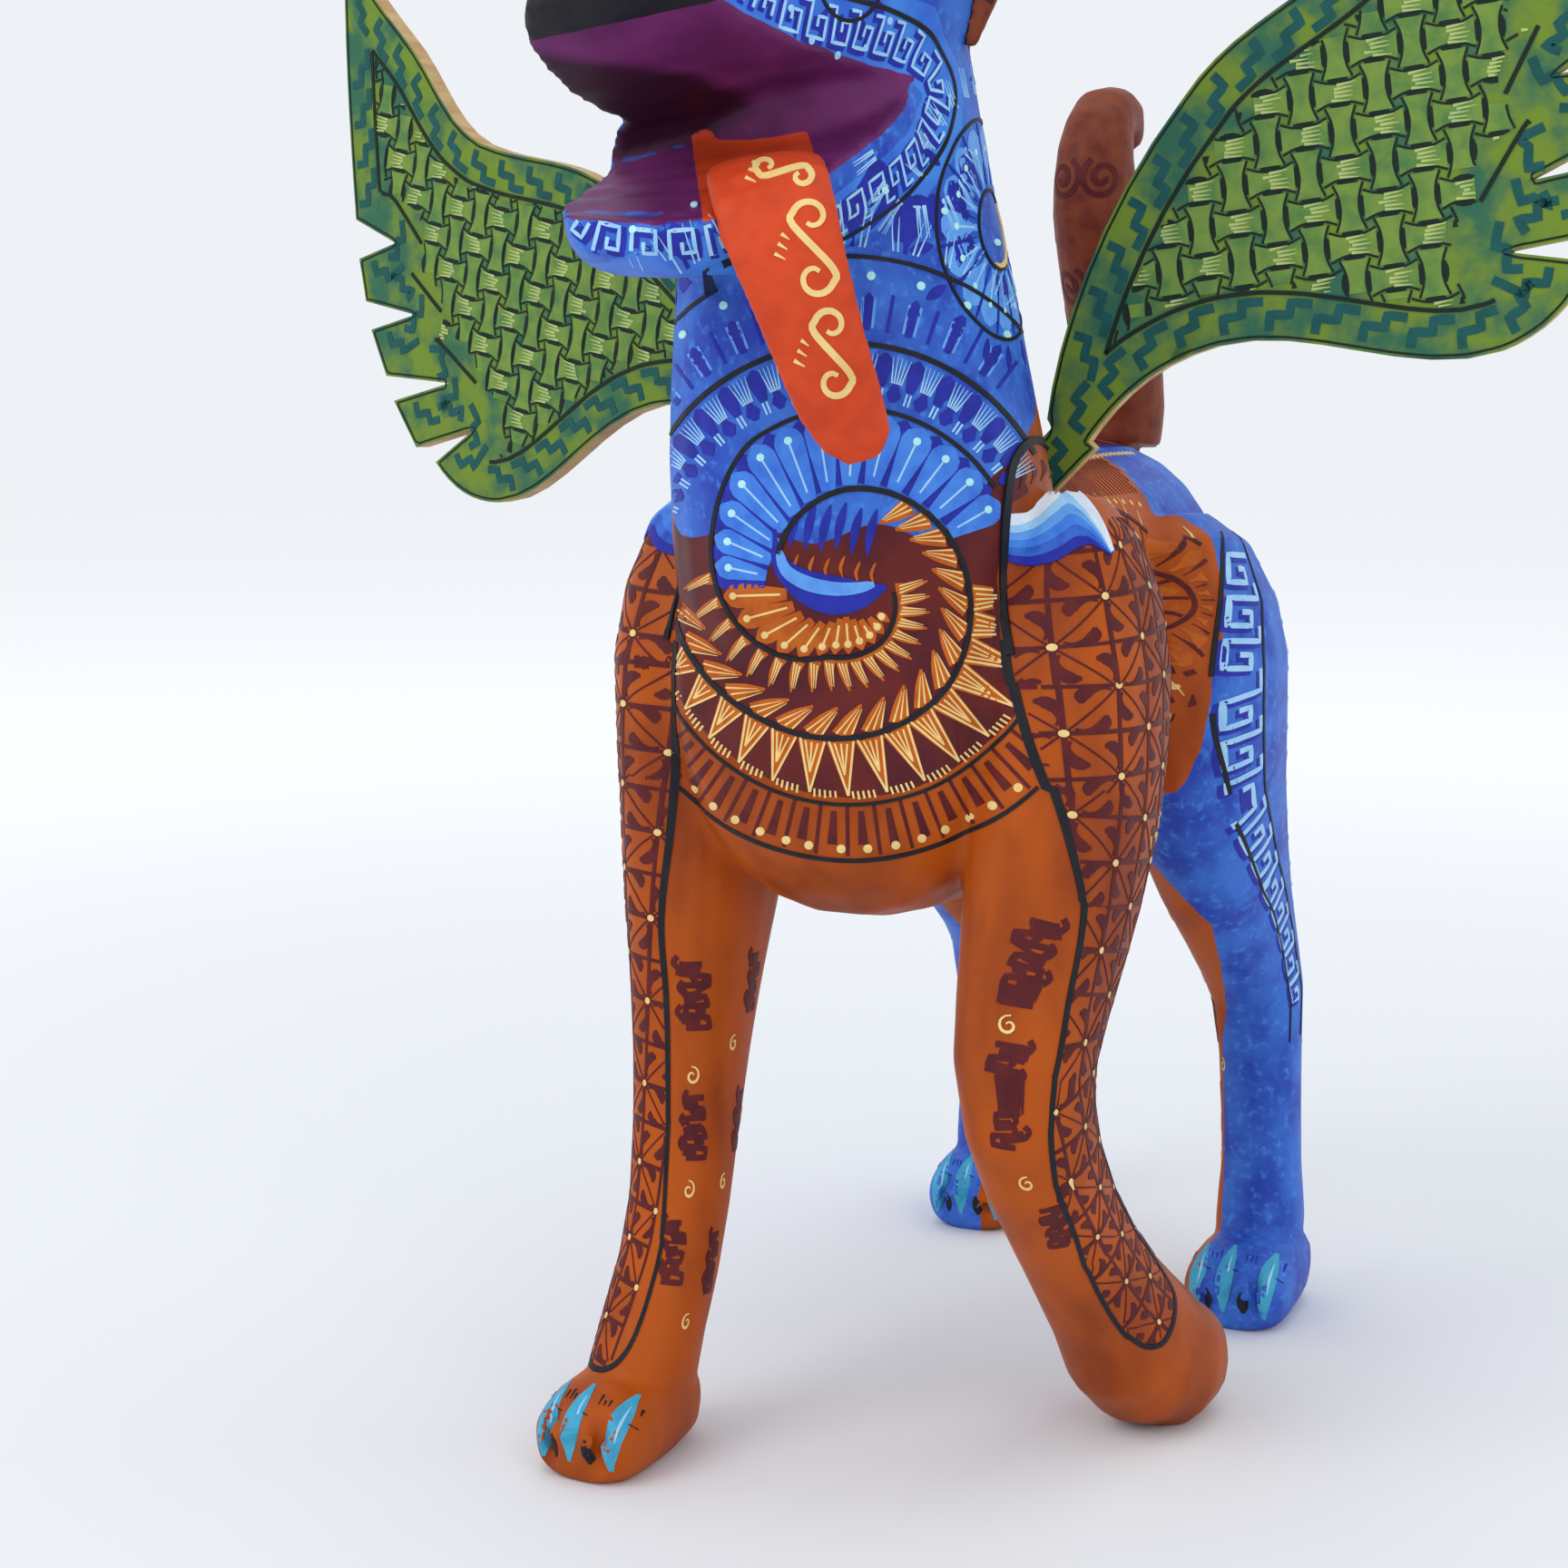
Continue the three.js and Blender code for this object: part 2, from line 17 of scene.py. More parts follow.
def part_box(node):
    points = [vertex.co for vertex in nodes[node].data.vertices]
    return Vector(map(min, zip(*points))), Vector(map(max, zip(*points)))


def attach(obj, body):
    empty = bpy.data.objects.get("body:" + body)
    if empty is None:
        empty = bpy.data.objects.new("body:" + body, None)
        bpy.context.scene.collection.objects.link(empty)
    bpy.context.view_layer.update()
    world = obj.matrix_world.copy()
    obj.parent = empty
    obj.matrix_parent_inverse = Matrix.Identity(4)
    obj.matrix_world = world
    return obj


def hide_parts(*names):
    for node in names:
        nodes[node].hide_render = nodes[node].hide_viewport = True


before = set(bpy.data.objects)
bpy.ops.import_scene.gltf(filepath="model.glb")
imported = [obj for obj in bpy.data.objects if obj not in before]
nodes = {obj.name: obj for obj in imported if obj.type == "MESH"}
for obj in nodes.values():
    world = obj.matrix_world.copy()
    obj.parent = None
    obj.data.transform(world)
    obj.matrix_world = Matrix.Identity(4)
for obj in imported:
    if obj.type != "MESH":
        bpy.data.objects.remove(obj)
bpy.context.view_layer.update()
rng = random.Random(7)

MM = 0.001
X, Z = Vector((1, 0, 0)), Vector((0, 0, 1))
DOWEL_AT = Vector((-12, 34, 304))  # the first head dowel's middle, in design coordinates
low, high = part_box("head_dowel_1")
SHIFT = (low + high) / 2 / MM - DOWEL_AT


def at(point):
    """Design millimetres to metres in the row frame."""
    return (Vector(point) + SHIFT) * MM


# ---- Materials -----------------------------------------------------------------------------

PALETTE = {  # colour, second colour that it is mottled with
    "brown": ((0.43, 0.078, 0.004), (0.23, 0.036, 0.004)),
    "maroon": ((0.075, 0.009, 0.014), (0.12, 0.014, 0.012)),
    "orange": ((0.50, 0.115, 0.008), (0.36, 0.065, 0.006)),
    "cream": ((0.80, 0.60, 0.24), (0.70, 0.46, 0.16)),
    "black": ((0.010, 0.011, 0.016), (0.016, 0.016, 0.020)),
    "deep_blue": ((0.020, 0.028, 0.36), (0.012, 0.018, 0.24)),
    "blue": ((0.040, 0.15, 0.58), (0.020, 0.055, 0.40)),
    "lip": ((0.060, 0.23, 0.72), (0.035, 0.13, 0.60)),
    "sky": ((0.13, 0.36, 0.78), (0.08, 0.25, 0.70)),
    "pale_blue": ((0.36, 0.62, 0.84), (0.25, 0.50, 0.80)),
    "aqua": ((0.45, 0.82, 0.78), (0.35, 0.72, 0.74)),
    "turquoise": ((0.06, 0.38, 0.55), (0.04, 0.28, 0.50)),
    "white": ((0.76, 0.79, 0.85), (0.62, 0.70, 0.82)),
    "purple": ((0.15, 0.022, 0.125), (0.10, 0.014, 0.085)),
    # dark is the colour of the painted shade at the back of the mouth
    "dark": ((0.016, 0.004, 0.008), (0.022, 0.005, 0.010)),
    "red": ((0.60, 0.060, 0.014), (0.50, 0.045, 0.012)),
    "green": ((0.15, 0.235, 0.024), (0.030, 0.125, 0.070)),
    "moss": ((0.17, 0.27, 0.045), (0.06, 0.17, 0.05)),
    "teal": ((0.010, 0.090, 0.085), (0.008, 0.065, 0.060)),
    "pale_green": ((0.42, 0.50, 0.17), (0.30, 0.42, 0.15)),
    "dark_green": ((0.006, 0.016, 0.012), (0.010, 0.022, 0.014)),
    "rust": ((0.21, 0.045, 0.018), (0.12, 0.020, 0.014)),
    "tan": ((0.56, 0.38, 0.18), (0.42, 0.26, 0.11)),
}


class Nodes:
    """A small helper for wiring one material's nodes."""

    def __init__(self, name, roughness):
        self.material = bpy.data.materials.new(name)
        self.material.use_nodes = True
        self.tree = self.material.node_tree
        self.shader = self.tree.nodes["Principled BSDF"]
        self.shader.inputs["Roughness"].default_value = roughness
        self.shader.inputs["Specular IOR Level"].default_value = 0.16
        self.where = self.add("ShaderNodeTexCoord").outputs["Object"]

    def add(self, kind, **settings):
        node = self.tree.nodes.new(kind)
        for key, value in settings.items():
            setattr(node, key, value)
        return node

    def link(self, a, b):
        self.tree.links.new(a, b)

    def noise(self, scale, detail=3.0, stretch=(1, 1, 1)):
        place = self.add("ShaderNodeMapping")
        place.inputs["Scale"].default_value = stretch
        self.link(self.where, place.inputs["Vector"])
        node = self.add("ShaderNodeTexNoise")
        node.inputs["Scale"].default_value = scale
        node.inputs["Detail"].default_value = detail
        self.link(place.outputs["Vector"], node.inputs["Vector"])
        return node.outputs["Fac"]

    def spread(self, value, low, high):
        node = self.add("ShaderNodeMapRange", interpolation_type="SMOOTHSTEP")
        node.inputs["From Min"].default_value = low
        node.inputs["From Max"].default_value = high
        self.link(value, node.inputs["Value"])
        return node.outputs["Result"]

    def mix(self, factor, a, b):
        node = self.add("ShaderNodeMix", data_type="RGBA")
        self.link(factor, node.inputs["Factor"])
        for socket, colour in ((node.inputs[6], a), (node.inputs[7], b)):
            if isinstance(colour, tuple):
                socket.default_value = (*colour, 1)
            else:
                self.link(colour, socket)
        return node.outputs[2]

    def mottled(self, colour, scale=55.0, low=0.35, high=0.68, stretch=(1, 1, 1)):
        first, second = PALETTE[colour]
        coarse = self.spread(self.noise(scale, 5.0, stretch), low, high)
        return self.mix(coarse, first, second)

    def bump(self, height, strength, distance):
        node = self.add("ShaderNodeBump")
        node.inputs["Strength"].default_value = strength
        node.inputs["Distance"].default_value = distance
        self.link(height, node.inputs["Height"])
        self.link(node.outputs["Normal"], self.shader.inputs["Normal"])

    def finish(self, colour, grain=(1, 1, 0.25)):
        self.link(colour, self.shader.inputs["Base Color"])
        self.bump(self.noise(900.0, 4.0, grain), 0.35, 0.00012)
        return self.material


def plain_paint(colour, roughness=0.5):
    made = Nodes(f"paint_{colour}", roughness)
    return made.finish(made.mottled(colour, 200.0, 0.3, 0.8))


# dark among the zones is painted shade at the back of the mouth, not a base coat
ZONES = ("maroon", "blue", "lip", "purple", "dark", "red", "black")


def body_paint():
    """Brown ground, with the other base coats, and the dark painted shade at the back of the mouth, where a
    zone's signed distance is above zero.
    """
    made = Nodes("body_paint", 0.47)
    colour = made.mottled("brown", 42.0, 0.36, 0.72, (1, 1, 0.45))
    fine = made.noise(420.0, 2.0)
    edge = made.noise(160.0, 2.0)
    for zone in ZONES:
        coat = made.mottled(zone, 70.0 if zone != "black" else 200.0)
        if zone == "blue":
            coat = made.mix(made.spread(fine, 0.50, 0.85), coat, PALETTE["lip"][0])
        distance = made.add("ShaderNodeAttribute", attribute_name=zone).outputs["Fac"]
        wander = made.add("ShaderNodeMath", operation="MULTIPLY_ADD")
        made.link(edge, wander.inputs[0])
        wander.inputs[1].default_value = 0.8
        made.link(distance, wander.inputs[2])
        # The painted shade in the mouth fades out over a wide soft edge; the coats end crisply.
        soft = (-3.5, 4.5) if zone == "dark" else (0.25, 0.55)
        colour = made.mix(made.spread(wander.outputs[0], *soft), colour, coat)
    return made.finish(colour)


def wing_paint():
    made = Nodes("wing_paint", 0.55)
    green = made.mix(made.spread(made.noise(90.0, 5.0), 0.38, 0.64), *PALETTE["green"])
    wood = made.mottled("tan", 60.0, 0.3, 0.7, (1, 1, 6))
    edge = made.add("ShaderNodeAttribute", attribute_name="rim").outputs["Fac"]
    return made.finish(made.mix(made.spread(edge, 0.4, 0.6), green, wood))


MATERIALS = {name: plain_paint(name) for name in PALETTE}
BODY_PAINT = body_paint()
WING_PAINT = wing_paint()


# ---- Carved skins ---------------------------------------------------------------------------


def object_of(name, mesh, body, material):
    made = bpy.data.objects.new(name, mesh)
    bpy.context.scene.collection.objects.link(made)
    made.data.materials.clear()
    made.data.materials.append(material)
    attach(made, body)
    return made


def bar(start, end, width, thickness, across):
    """A square bar in design coordinates, as a bmesh in metres."""
    along = (end - start).normalized()
    side = (across - along * across.dot(along)).normalized()
    other = along.cross(side)
    made = bmesh.new()
    bmesh.ops.create_cube(made, size=1)
    turn = Matrix((side * width, other * thickness, end - start)).transposed().to_4x4()
    for corner in made.verts:
        corner.co = at((start + end) / 2 + turn @ corner.co)
    return made


def smoothed(points, edges, weight, rounds):
    """Rounds off facets without shrinking the shape."""
    count = len(points)
    a, b = edges[:, 0], edges[:, 1]
    degree = np.maximum(np.bincount(edges.ravel(), minlength=count), 1)
    for _ in range(rounds):
        for push in (0.5, -0.51):
            around = np.stack(
                [
                    np.bincount(a, points[b, k], count) + np.bincount(b, points[a, k], count)
                    for k in range(3)
                ],
                1,
            )
            points = points + push * weight[:, None] * (around / degree[:, None] - points)
    return points


def carved(bodies, voxel, rounds, weight=None, swell=0.0):
    """One smooth skin over several bmeshes."""
    joined = bmesh.new()
    for part in bodies:
        mesh = bpy.data.meshes.new("part")
        part.to_mesh(mesh)
        joined.from_mesh(mesh)
        bpy.data.meshes.remove(mesh)
    bmesh.ops.recalc_face_normals(joined, faces=joined.faces)
    joined.normal_update()
    for corner in joined.verts:
        corner.co += corner.normal * swell
    mesh = bpy.data.meshes.new("skin")
    joined.to_mesh(mesh)
    holder = bpy.data.objects.new("skin", mesh)
    bpy.context.scene.collection.objects.link(holder)
    remesh = holder.modifiers.new("remesh", "REMESH")
    remesh.mode = "VOXEL"
    remesh.voxel_size = voxel
    remesh.use_smooth_shade = True
    graph = bpy.context.evaluated_depsgraph_get()
    made = bpy.data.meshes.new_from_object(holder.evaluated_get(graph))
    bpy.data.objects.remove(holder)
    points = np.empty(len(made.vertices) * 3)
    made.vertices.foreach_get("co", points)
    points = points.reshape(-1, 3)
    edges = np.empty(len(made.edges) * 2, np.int64)
    made.edges.foreach_get("vertices", edges)
    edges = edges.reshape(-1, 2)
    each = np.ones(len(points)) if weight is None else weight(points / MM - np.array(SHIFT))
    points = smoothed(points, edges, each, rounds)
    made.vertices.foreach_set("co", points.ravel())
    made.update()
    return made


def node_copy(name):
    made = bmesh.new()
    made.from_mesh(nodes[name].data)
    bmesh.ops.remove_doubles(made, verts=made.verts, dist=1e-6)
    return made


def cut(mesh, tool, operation):
    """mesh with a bmesh tool taken from it, or kept inside it."""
    holder = bpy.data.objects.new("cut", mesh)
    knife_mesh = bpy.data.meshes.new("knife")
    tool.to_mesh(knife_mesh)
    knife = bpy.data.objects.new("knife", knife_mesh)
    for made in (holder, knife):
        bpy.context.scene.collection.objects.link(made)
    boolean = holder.modifiers.new("cut", "BOOLEAN")
    boolean.operation = operation
    boolean.object = knife
    boolean.solver = "FAST"
    graph = bpy.context.evaluated_depsgraph_get()
    result = bpy.data.meshes.new_from_object(holder.evaluated_get(graph))
    bpy.data.objects.remove(holder)
    bpy.data.objects.remove(knife)
    return result


def block(cut_x, front, rear, belly, top, reach, low_rear, side, grow):
    """The space of one leg's block: an upper box, and under the belly one that reaches further in."""
    made = bmesh.new()
    upper = [(cut_x - grow, front - grow, belly), (200, rear + grow, top + grow)]
    lower = [(cut_x - reach - grow, front - grow, -10), (200, low_rear + grow, belly)]
    profile = [
        (upper[0][0], upper[1][2]),
        (200, upper[1][2]),
        (200, -10),
        (lower[0][0], -10),
        (lower[0][0], belly),
        (upper[0][0], belly),
    ]
    ends = []
    for y in (front - grow, rear + grow):
        ends.append([made.verts.new(at((side * x, y, z))) for x, z in profile])
    made.faces.new(ends[0])
    made.faces.new(reversed(ends[1]))
    for k in range(len(profile)):
        n = (k + 1) % len(profile)
        made.faces.new((ends[0][k], ends[1][k], ends[1][n], ends[0][n]))
    bmesh.ops.recalc_face_normals(made, faces=made.faces)
    return made


# The joints of the carved figure, as in the CAD.
FRONT_BLOCK = {"cut_x": 36, "front": -60, "rear": 104, "belly": 148, "top": 232, "reach": 8, "low_rear": 104}
HIND_BLOCK = {"cut_x": 29, "front": 120, "rear": 300, "belly": 155, "top": 224, "reach": 8, "low_rear": 300}
LEG_BLOCKS = {
    "right_front_leg": (FRONT_BLOCK, -1),
    "left_front_leg": (FRONT_BLOCK, 1),
    "right_hind_leg": (HIND_BLOCK, -1),
    "left_hind_leg": (HIND_BLOCK, 1),
}
NECK_JOINT_Z = 304
HAIRLINE = 0.01
HEAD_YAW = math.radians(-10)
HEAD_TURN = Vector((0, 24, 0))


def in_head(points):
    """Design coordinates to the head's own: x to the dog's left, y forward."""
    x, y = points[:, 0], points[:, 1] - HEAD_TURN.y
    c, s = math.cos(-HEAD_YAW), math.sin(-HEAD_YAW)
    return np.stack([c * x - s * y, -(s * x + c * y), points[:, 2]], 1)


def out_of_head(point):
    x, y, z = point
    c, s = math.cos(HEAD_YAW), math.sin(HEAD_YAW)
    return Vector((c * x + s * y, s * x - c * y + HEAD_TURN.y, z))


def wing_axis(side, sweep):
    out = Vector((side * math.cos(sweep), math.sin(sweep), 0))
    slope = math.radians(46)
    return out, (out * math.cos(slope) + Z * math.sin(slope)).normalized()


WINGS = {  # side, sweep and raise
    "left_wing": (1, math.radians(6), math.radians(23.5)),
    "right_wing": (-1, math.radians(13.5), 0.0),
}
WING_ROOT = Vector((42, 76, 253))
TAIL_AXIS = Vector((0, 0.12, 1)).normalized()


def sockets(clear, cut=True):
    """The bars that cut the sockets in torso and head, or fill them up to the surface."""
    found = []
    for side, sweep, _ in WINGS.values():
        out, axis = wing_axis(side, sweep)
        root = Vector((side * WING_ROOT.x, WING_ROOT.y, WING_ROOT.z))
        end = root + axis * (2 if cut else -17)
        across = axis.cross(out.cross(Z))
        found.append(
            ("torso", bar(root - axis * (34 + 3 * clear), end, 11 + 2 * clear, 5 + 2 * clear, across))
        )
    tail_at = Vector((0, 217, 262))
    end = tail_at - TAIL_AXIS * (0 if cut else 16)
    foot = tail_at - TAIL_AXIS * (34 + 3 * clear)
    found.append(("torso", bar(foot, end, 10 + 2 * clear, 10 + 2 * clear, TAIL_AXIS.cross(X))))
    for side in (1, -1):
        start = out_of_head((side * 30, -9, 374))
        axis = (start - out_of_head((side * 29.5, -9, 373.134))).normalized()
        face = out_of_head((side * 30.5, -9.85, 373.9)) - start
        end = start + axis * (13 if cut else -1)
        foot = start - axis * (30 + 3 * clear)
        found.append(("head", bar(foot, end, 9 + 2 * clear, 7 + 2 * clear, axis.cross(face))))
    return found


def carving_care(points):
    """Smooths the body fully, and the mouth and toes lightly so that they stay crisp."""
    head = in_head(points)
    mouth = np.clip((head[:, 1] - 8) / 8, 0, 1) * np.clip((points[:, 2] - 288) / 6, 0, 1)
    toes = np.clip((30 - points[:, 2]) / 8, 0, 1)
    return 1 - 0.86 * np.maximum(mouth, 0.75 * toes)


BODY_NODES = ["torso", "head", *LEG_BLOCKS]
SKIN = carved(
    [node_copy(n) for n in BODY_NODES] + [tool for _, tool in sockets(0.6, cut=False)],
    0.0014,
    38,
    carving_care,
    0.00022,
)
SKIN_TREE = BVHTree.FromPolygons(
    [v.co.copy() for v in SKIN.vertices], [tuple(p.vertices) for p in SKIN.polygons]
)


# ---- Base coats and the mouth's painted shade -----------------------------------------------

CHEST = Vector((15.5, 0.5, 219))
CHEST_AZIMUTH = math.radians(26)
# The gouge of the mouth in the head's own frame, as in the CAD: [forward, height] of palate and
# floor on the dog's right and left, from the corner forwards.
MOUTH = [
    (((41, 315), (12, 330)), ((41, 315), (12, 330))),
    (((46, 318.5), (21, 331.2)), ((42, 311), (17.4, 323.6))),
    (((55, 321), (34, 332.4)), ((48, 308), (26, 318))),
    (((65, 324), (47, 334.3)), ((56, 305.4), (36, 312.6))),
    (((75, 328), (61, 339.3)), ((66, 302.8), (48, 305.5))),
    (((90, 336), (76, 347)), ((90, 298), (72, 297))),
    (((125, 352), (120, 370)), ((125, 292), (120, 288))),
]
MOUTH_SIDE = 30
MOUTH_SKEW = (29, -15)  # from the left corner of the mouth to the right one
LIP = [
    (76, 353), (60, 342), (44, 339.5), (28, 338.5), (11, 337), (0, 330), (3, 321), (14, 311), (27, 303),
    (39, 296), (54, 291), (76, 289)
]
TONGUE_ACROSS = np.array((0.86, 0.46, 0.14)) / np.linalg.norm((0.86, 0.46, 0.14))


def mouth_height(which, x, forward):
    """Height of the palate (0) or floor (1) there, and how far forward its corner is."""
    share = (x / MOUTH_SIDE + 1) / 2
    rows = [station[which] for station in MOUTH]
    places = [r[0] + share * (l[0] - r[0]) for r, l in rows]
    heights = [r[1] + share * (l[1] - r[1]) for r, l in rows]
    found = np.array(heights[0], copy=True)
    for f0, f1, h0, h1 in zip(places, places[1:], heights, heights[1:]):
        t = (forward - f0) / (f1 - f0)
        found = np.where(t > 0, h0 + np.minimum(t, 1) * (h1 - h0), found)
    return found, places[0]


def from_line(px, py, line):
    """Distance of points to an open polyline."""
    best = np.full(len(px), 1e9)
    for (ax, ay), (bx, by) in zip(line, line[1:]):
        dx, dy = bx - ax, by - ay
        t = np.clip(((px - ax) * dx + (py - ay) * dy) / (dx * dx + dy * dy), 0, 1)
        best = np.minimum(best, np.hypot(px - ax - t * dx, py - ay - t * dy))
    return best


def chest_end(v):
    """Where the chest's drawing stops at the line of the dog's left leg."""
    return np.interp(v, [-42, -28, -12, 2, 18, 30], [44.5, 39.5, 35.5, 34.5, 36, 60])


def zones(points):
    """Signed distances, in millimetres, of each base coat's area, and of the painted shade at the back of the
    mouth.
    """
    x, y, z = points.T
    hx, forward, hz = in_head(points).T
    u = (x - CHEST.x) * math.cos(CHEST_AZIMUTH) + (y - CHEST.y) * math.sin(CHEST_AZIMUTH)
    v = z - CHEST.z
    maroon = np.minimum.reduce([47.5 - np.hypot(u, v), 50 - y, chest_end(v) - u, u + 40])
    front = z - (232 + 0.62 * np.maximum(0, y - 8) + 2.2 * np.sin(u / 4.5))
    leg_x = np.interp(z, [21, 77, 105, 119, 136, 150], [44, 43, 49, 51, 40, 10])
    rump = y - (128 + 0.4 * np.maximum(0, z - 188))
    blue = np.maximum(front, np.minimum(rump, np.abs(x) - leg_x))
    palate, corner = mouth_height(0, hx, forward)
    floor, _ = mouth_height(1, hx, forward)
    purple = np.minimum(np.minimum(palate + 1.0 - hz, hz - floor + 1.0), forward - corner + 1)
    across = (points - np.array((5.0, -20.0, 312.0))) @ TONGUE_ACROSS
    red = np.minimum(1.6 - np.abs(hz - floor), 12.6 - np.abs(across + 1.0))
    red = np.minimum(red, forward - corner)
    nose = np.minimum(forward - (64 + 0.10 * np.abs(hx)), hz - (333 + 0.54 * (84 - forward)))
    # Painted shade: dark on the palate towards the back of the mouth and on the dog's right.
    dark = np.minimum(2.5 - np.abs(hz - palate), 3 - hx - 0.9 * np.maximum(0, forward - 54))
    skew = (MOUTH_SIDE - hx) / (2 * MOUTH_SIDE)
    lip = from_line(forward - MOUTH_SKEW[0] * skew, hz - MOUTH_SKEW[1] * skew, LIP)
    lip = np.where(z > 282, 7.5 - lip, -5.0)
    return dict(zip(ZONES, (maroon, blue, lip, purple, dark, red, nose)))


def coat(mesh):
    points = np.empty(len(mesh.vertices) * 3)
    mesh.vertices.foreach_get("co", points)
    points = points.reshape(-1, 3) / MM - np.array(SHIFT)
    for zone, distance in zones(points).items():
        attribute = mesh.attributes.new(zone, "FLOAT", "POINT")
        attribute.data.foreach_set("value", np.clip(distance, -5, 5).astype(np.float32))


def smooth_shade(mesh):
    mesh.polygons.foreach_set("use_smooth", [True] * len(mesh.polygons))
    mesh.set_sharp_from_angle(angle=math.radians(40))


def carve_pieces():
    """Parts the skin at the glue lines and cuts the sockets again."""
    rest = SKIN
    for name, (size, side) in LEG_BLOCKS.items():
        leg = cut(SKIN.copy(), block(**size, side=side, grow=-HAIRLINE), "INTERSECT")
        rest = cut(rest.copy(), block(**size, side=side, grow=HAIRLINE), "DIFFERENCE")
        finish_piece(f"carved_{name}", leg, name)
    top = bar(Vector((0, 20, NECK_JOINT_Z + HAIRLINE)), Vector((0, 20, 450)), 200, 300, X)
    bottom = bar(Vector((0, 20, -20)), Vector((0, 20, NECK_JOINT_Z - HAIRLINE)), 400, 700, X)
    parts = {"head": cut(rest.copy(), top, "INTERSECT"), "torso": cut(rest, bottom, "INTERSECT")}
    for owner, tool in sockets(0.35):
        parts[owner] = cut(parts[owner], tool, "DIFFERENCE")
    finish_piece("carved_head", parts["head"], "head")
    finish_piece("carved_torso", parts["torso"], "torso")


def finish_piece(name, mesh, node):
    coat(mesh)
    smooth_shade(mesh)
    made = object_of(name, mesh, "figure", BODY_PAINT)
    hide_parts(node)


carve_pieces()


def small_carving(node, body, material, voxel, rounds):
    mesh = carved([node_copy(node)], voxel, rounds)
    smooth_shade(mesh)
    made = object_of(f"carved_{node}", mesh, body, material)
    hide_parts(node)
    return BVHTree.FromPolygons(
        [v.co.copy() for v in mesh.vertices], [tuple(p.vertices) for p in mesh.polygons]
    )


TONGUE_TREE = small_carving("tongue", "figure", MATERIALS["red"], 0.0008, 10)
TAIL_TREE = small_carving("tail", "tail", MATERIALS["rust"], 0.0011, 16)
EAR_TREES = {
    side: small_carving(f"{side}_ear", f"{side}_ear", MATERIALS["rust"], 0.0009, 10)
    for side in ("left", "right")
}


def wing_board(name):
    """The board with its arrises eased. Its sawn rim is left as bare wood."""
    side, sweep, _ = WINGS[name]
    out, _ = wing_axis(side, sweep)
    normal = out.cross(Z)
    board = node_copy(name)
    sharp = [e for e in board.edges if len(e.link_faces) == 2 and e.calc_face_angle() > math.radians(50)]
    bmesh.ops.bevel(board, geom=sharp, offset=0.0005, segments=2, affect="EDGES", clamp_overlap=True)
    mesh = bpy.data.meshes.new(name)
    board.to_mesh(mesh)
    rim = mesh.attributes.new("rim", "FLOAT", "FACE")
    rim.data.foreach_set("value", [float(abs(p.normal.dot(normal)) < 0.8) for p in mesh.polygons])
    made = object_of(f"painted_{name}", mesh, name, WING_PAINT)
    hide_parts(name)
    return BVHTree.FromPolygons(
        [v.co.copy() for v in mesh.vertices], [tuple(p.vertices) for p in mesh.polygons]
    )


WING_TREES = {name: wing_board(name) for name in WINGS}


def dowel_wood():
    made = Nodes("dowel_wood", 0.7)
    return made.finish(made.mottled("tan", 90.0, 0.3, 0.7, (1, 6, 6)))


DOWEL_WOOD = dowel_wood()
for name, node in nodes.items():
    if "dowel" in name:
        node.data.materials.clear()
        node.data.materials.append(DOWEL_WOOD)


# ---- Canvases: flat drawings onto the skin ----------------------------------------------------


class Canvas:
    """What a drawing is laid on: how steep the skin may be, and where the drawing ends."""

    graze, steep, mask = 0.06, 2, None


class Flat(Canvas):
    """Drawn as seen from one direction: u to the right and v up, from centre."""

    def __init__(self, tree, centre, azimuth, elevation=0.0, flip=1, reach=60, turn=0.0):
        a, e = math.radians(azimuth), math.radians(elevation)
        self.tree, self.centre, self.flip, self.reach = tree, Vector(centre), flip, reach
        self.view = Vector((-math.sin(a) * math.cos(e), math.cos(a) * math.cos(e), -math.sin(e)))
        right = Vector((math.cos(a), math.sin(a), 0))
        up = right.cross(self.view)
        c, s = math.cos(turn), math.sin(turn)
        self.right, self.up = right * c + up * s, up * c - right * s

    def cast(self, u, v):
        start = self.centre + self.right * (u * self.flip) + self.up * v - self.view * self.reach
        return start, self.view


class Round(Canvas):
    """Wrapped round a limb: v down along it from its first station, u across from its front."""

    def __init__(self, tree, stations, radius, side, front=(0, -1, 0), reach=45):
        self.tree, self.radius, self.side, self.reach = tree, radius, side, reach
        self.points = [Vector(p) for p in stations]
        self.front = Vector(front)
        self.lengths = [0.0]
        for a, b in zip(self.points, self.points[1:]):
            self.lengths.append(self.lengths[-1] + (b - a).length)

    def cast(self, u, v):
        k = 0
        while k < len(self.points) - 2 and self.lengths[k + 1] < v:
            k += 1
        a, b = self.points[k], self.points[k + 1]
        centre = a.lerp(b, (v - self.lengths[k]) / (b - a).length)
        before = self.points[max(k - 1, 0)]
        after = self.points[min(k + 2, len(self.points) - 1)]
        along = ((b - a).normalized() + (after - before).normalized()).normalized()
        front = (self.front - along * self.front.dot(along)).normalized()
        outer = along.cross(front)
        if outer.x * self.side < 0:
            outer = -outer
        angle = u / self.radius
        spoke = front * math.cos(angle) + outer * math.sin(angle)
        return centre + spoke * self.reach, -spoke


def hit(canvas, u, v):
    start, view = canvas.cast(u, v)
    found, normal, _, _ = canvas.tree.ray_cast(at(start), view, 0.2)
    if found is None or normal.dot(view) > -canvas.graze or abs(normal.z) > canvas.steep:
        return None
    if canvas.mask is not None and not canvas.mask(u, v):
        return None
    return found, normal


LAYER = 0.05  # millimetres between one coat of decoration and the next
SINK = 0.12
STEP = 1.7
JUMP = 7.0


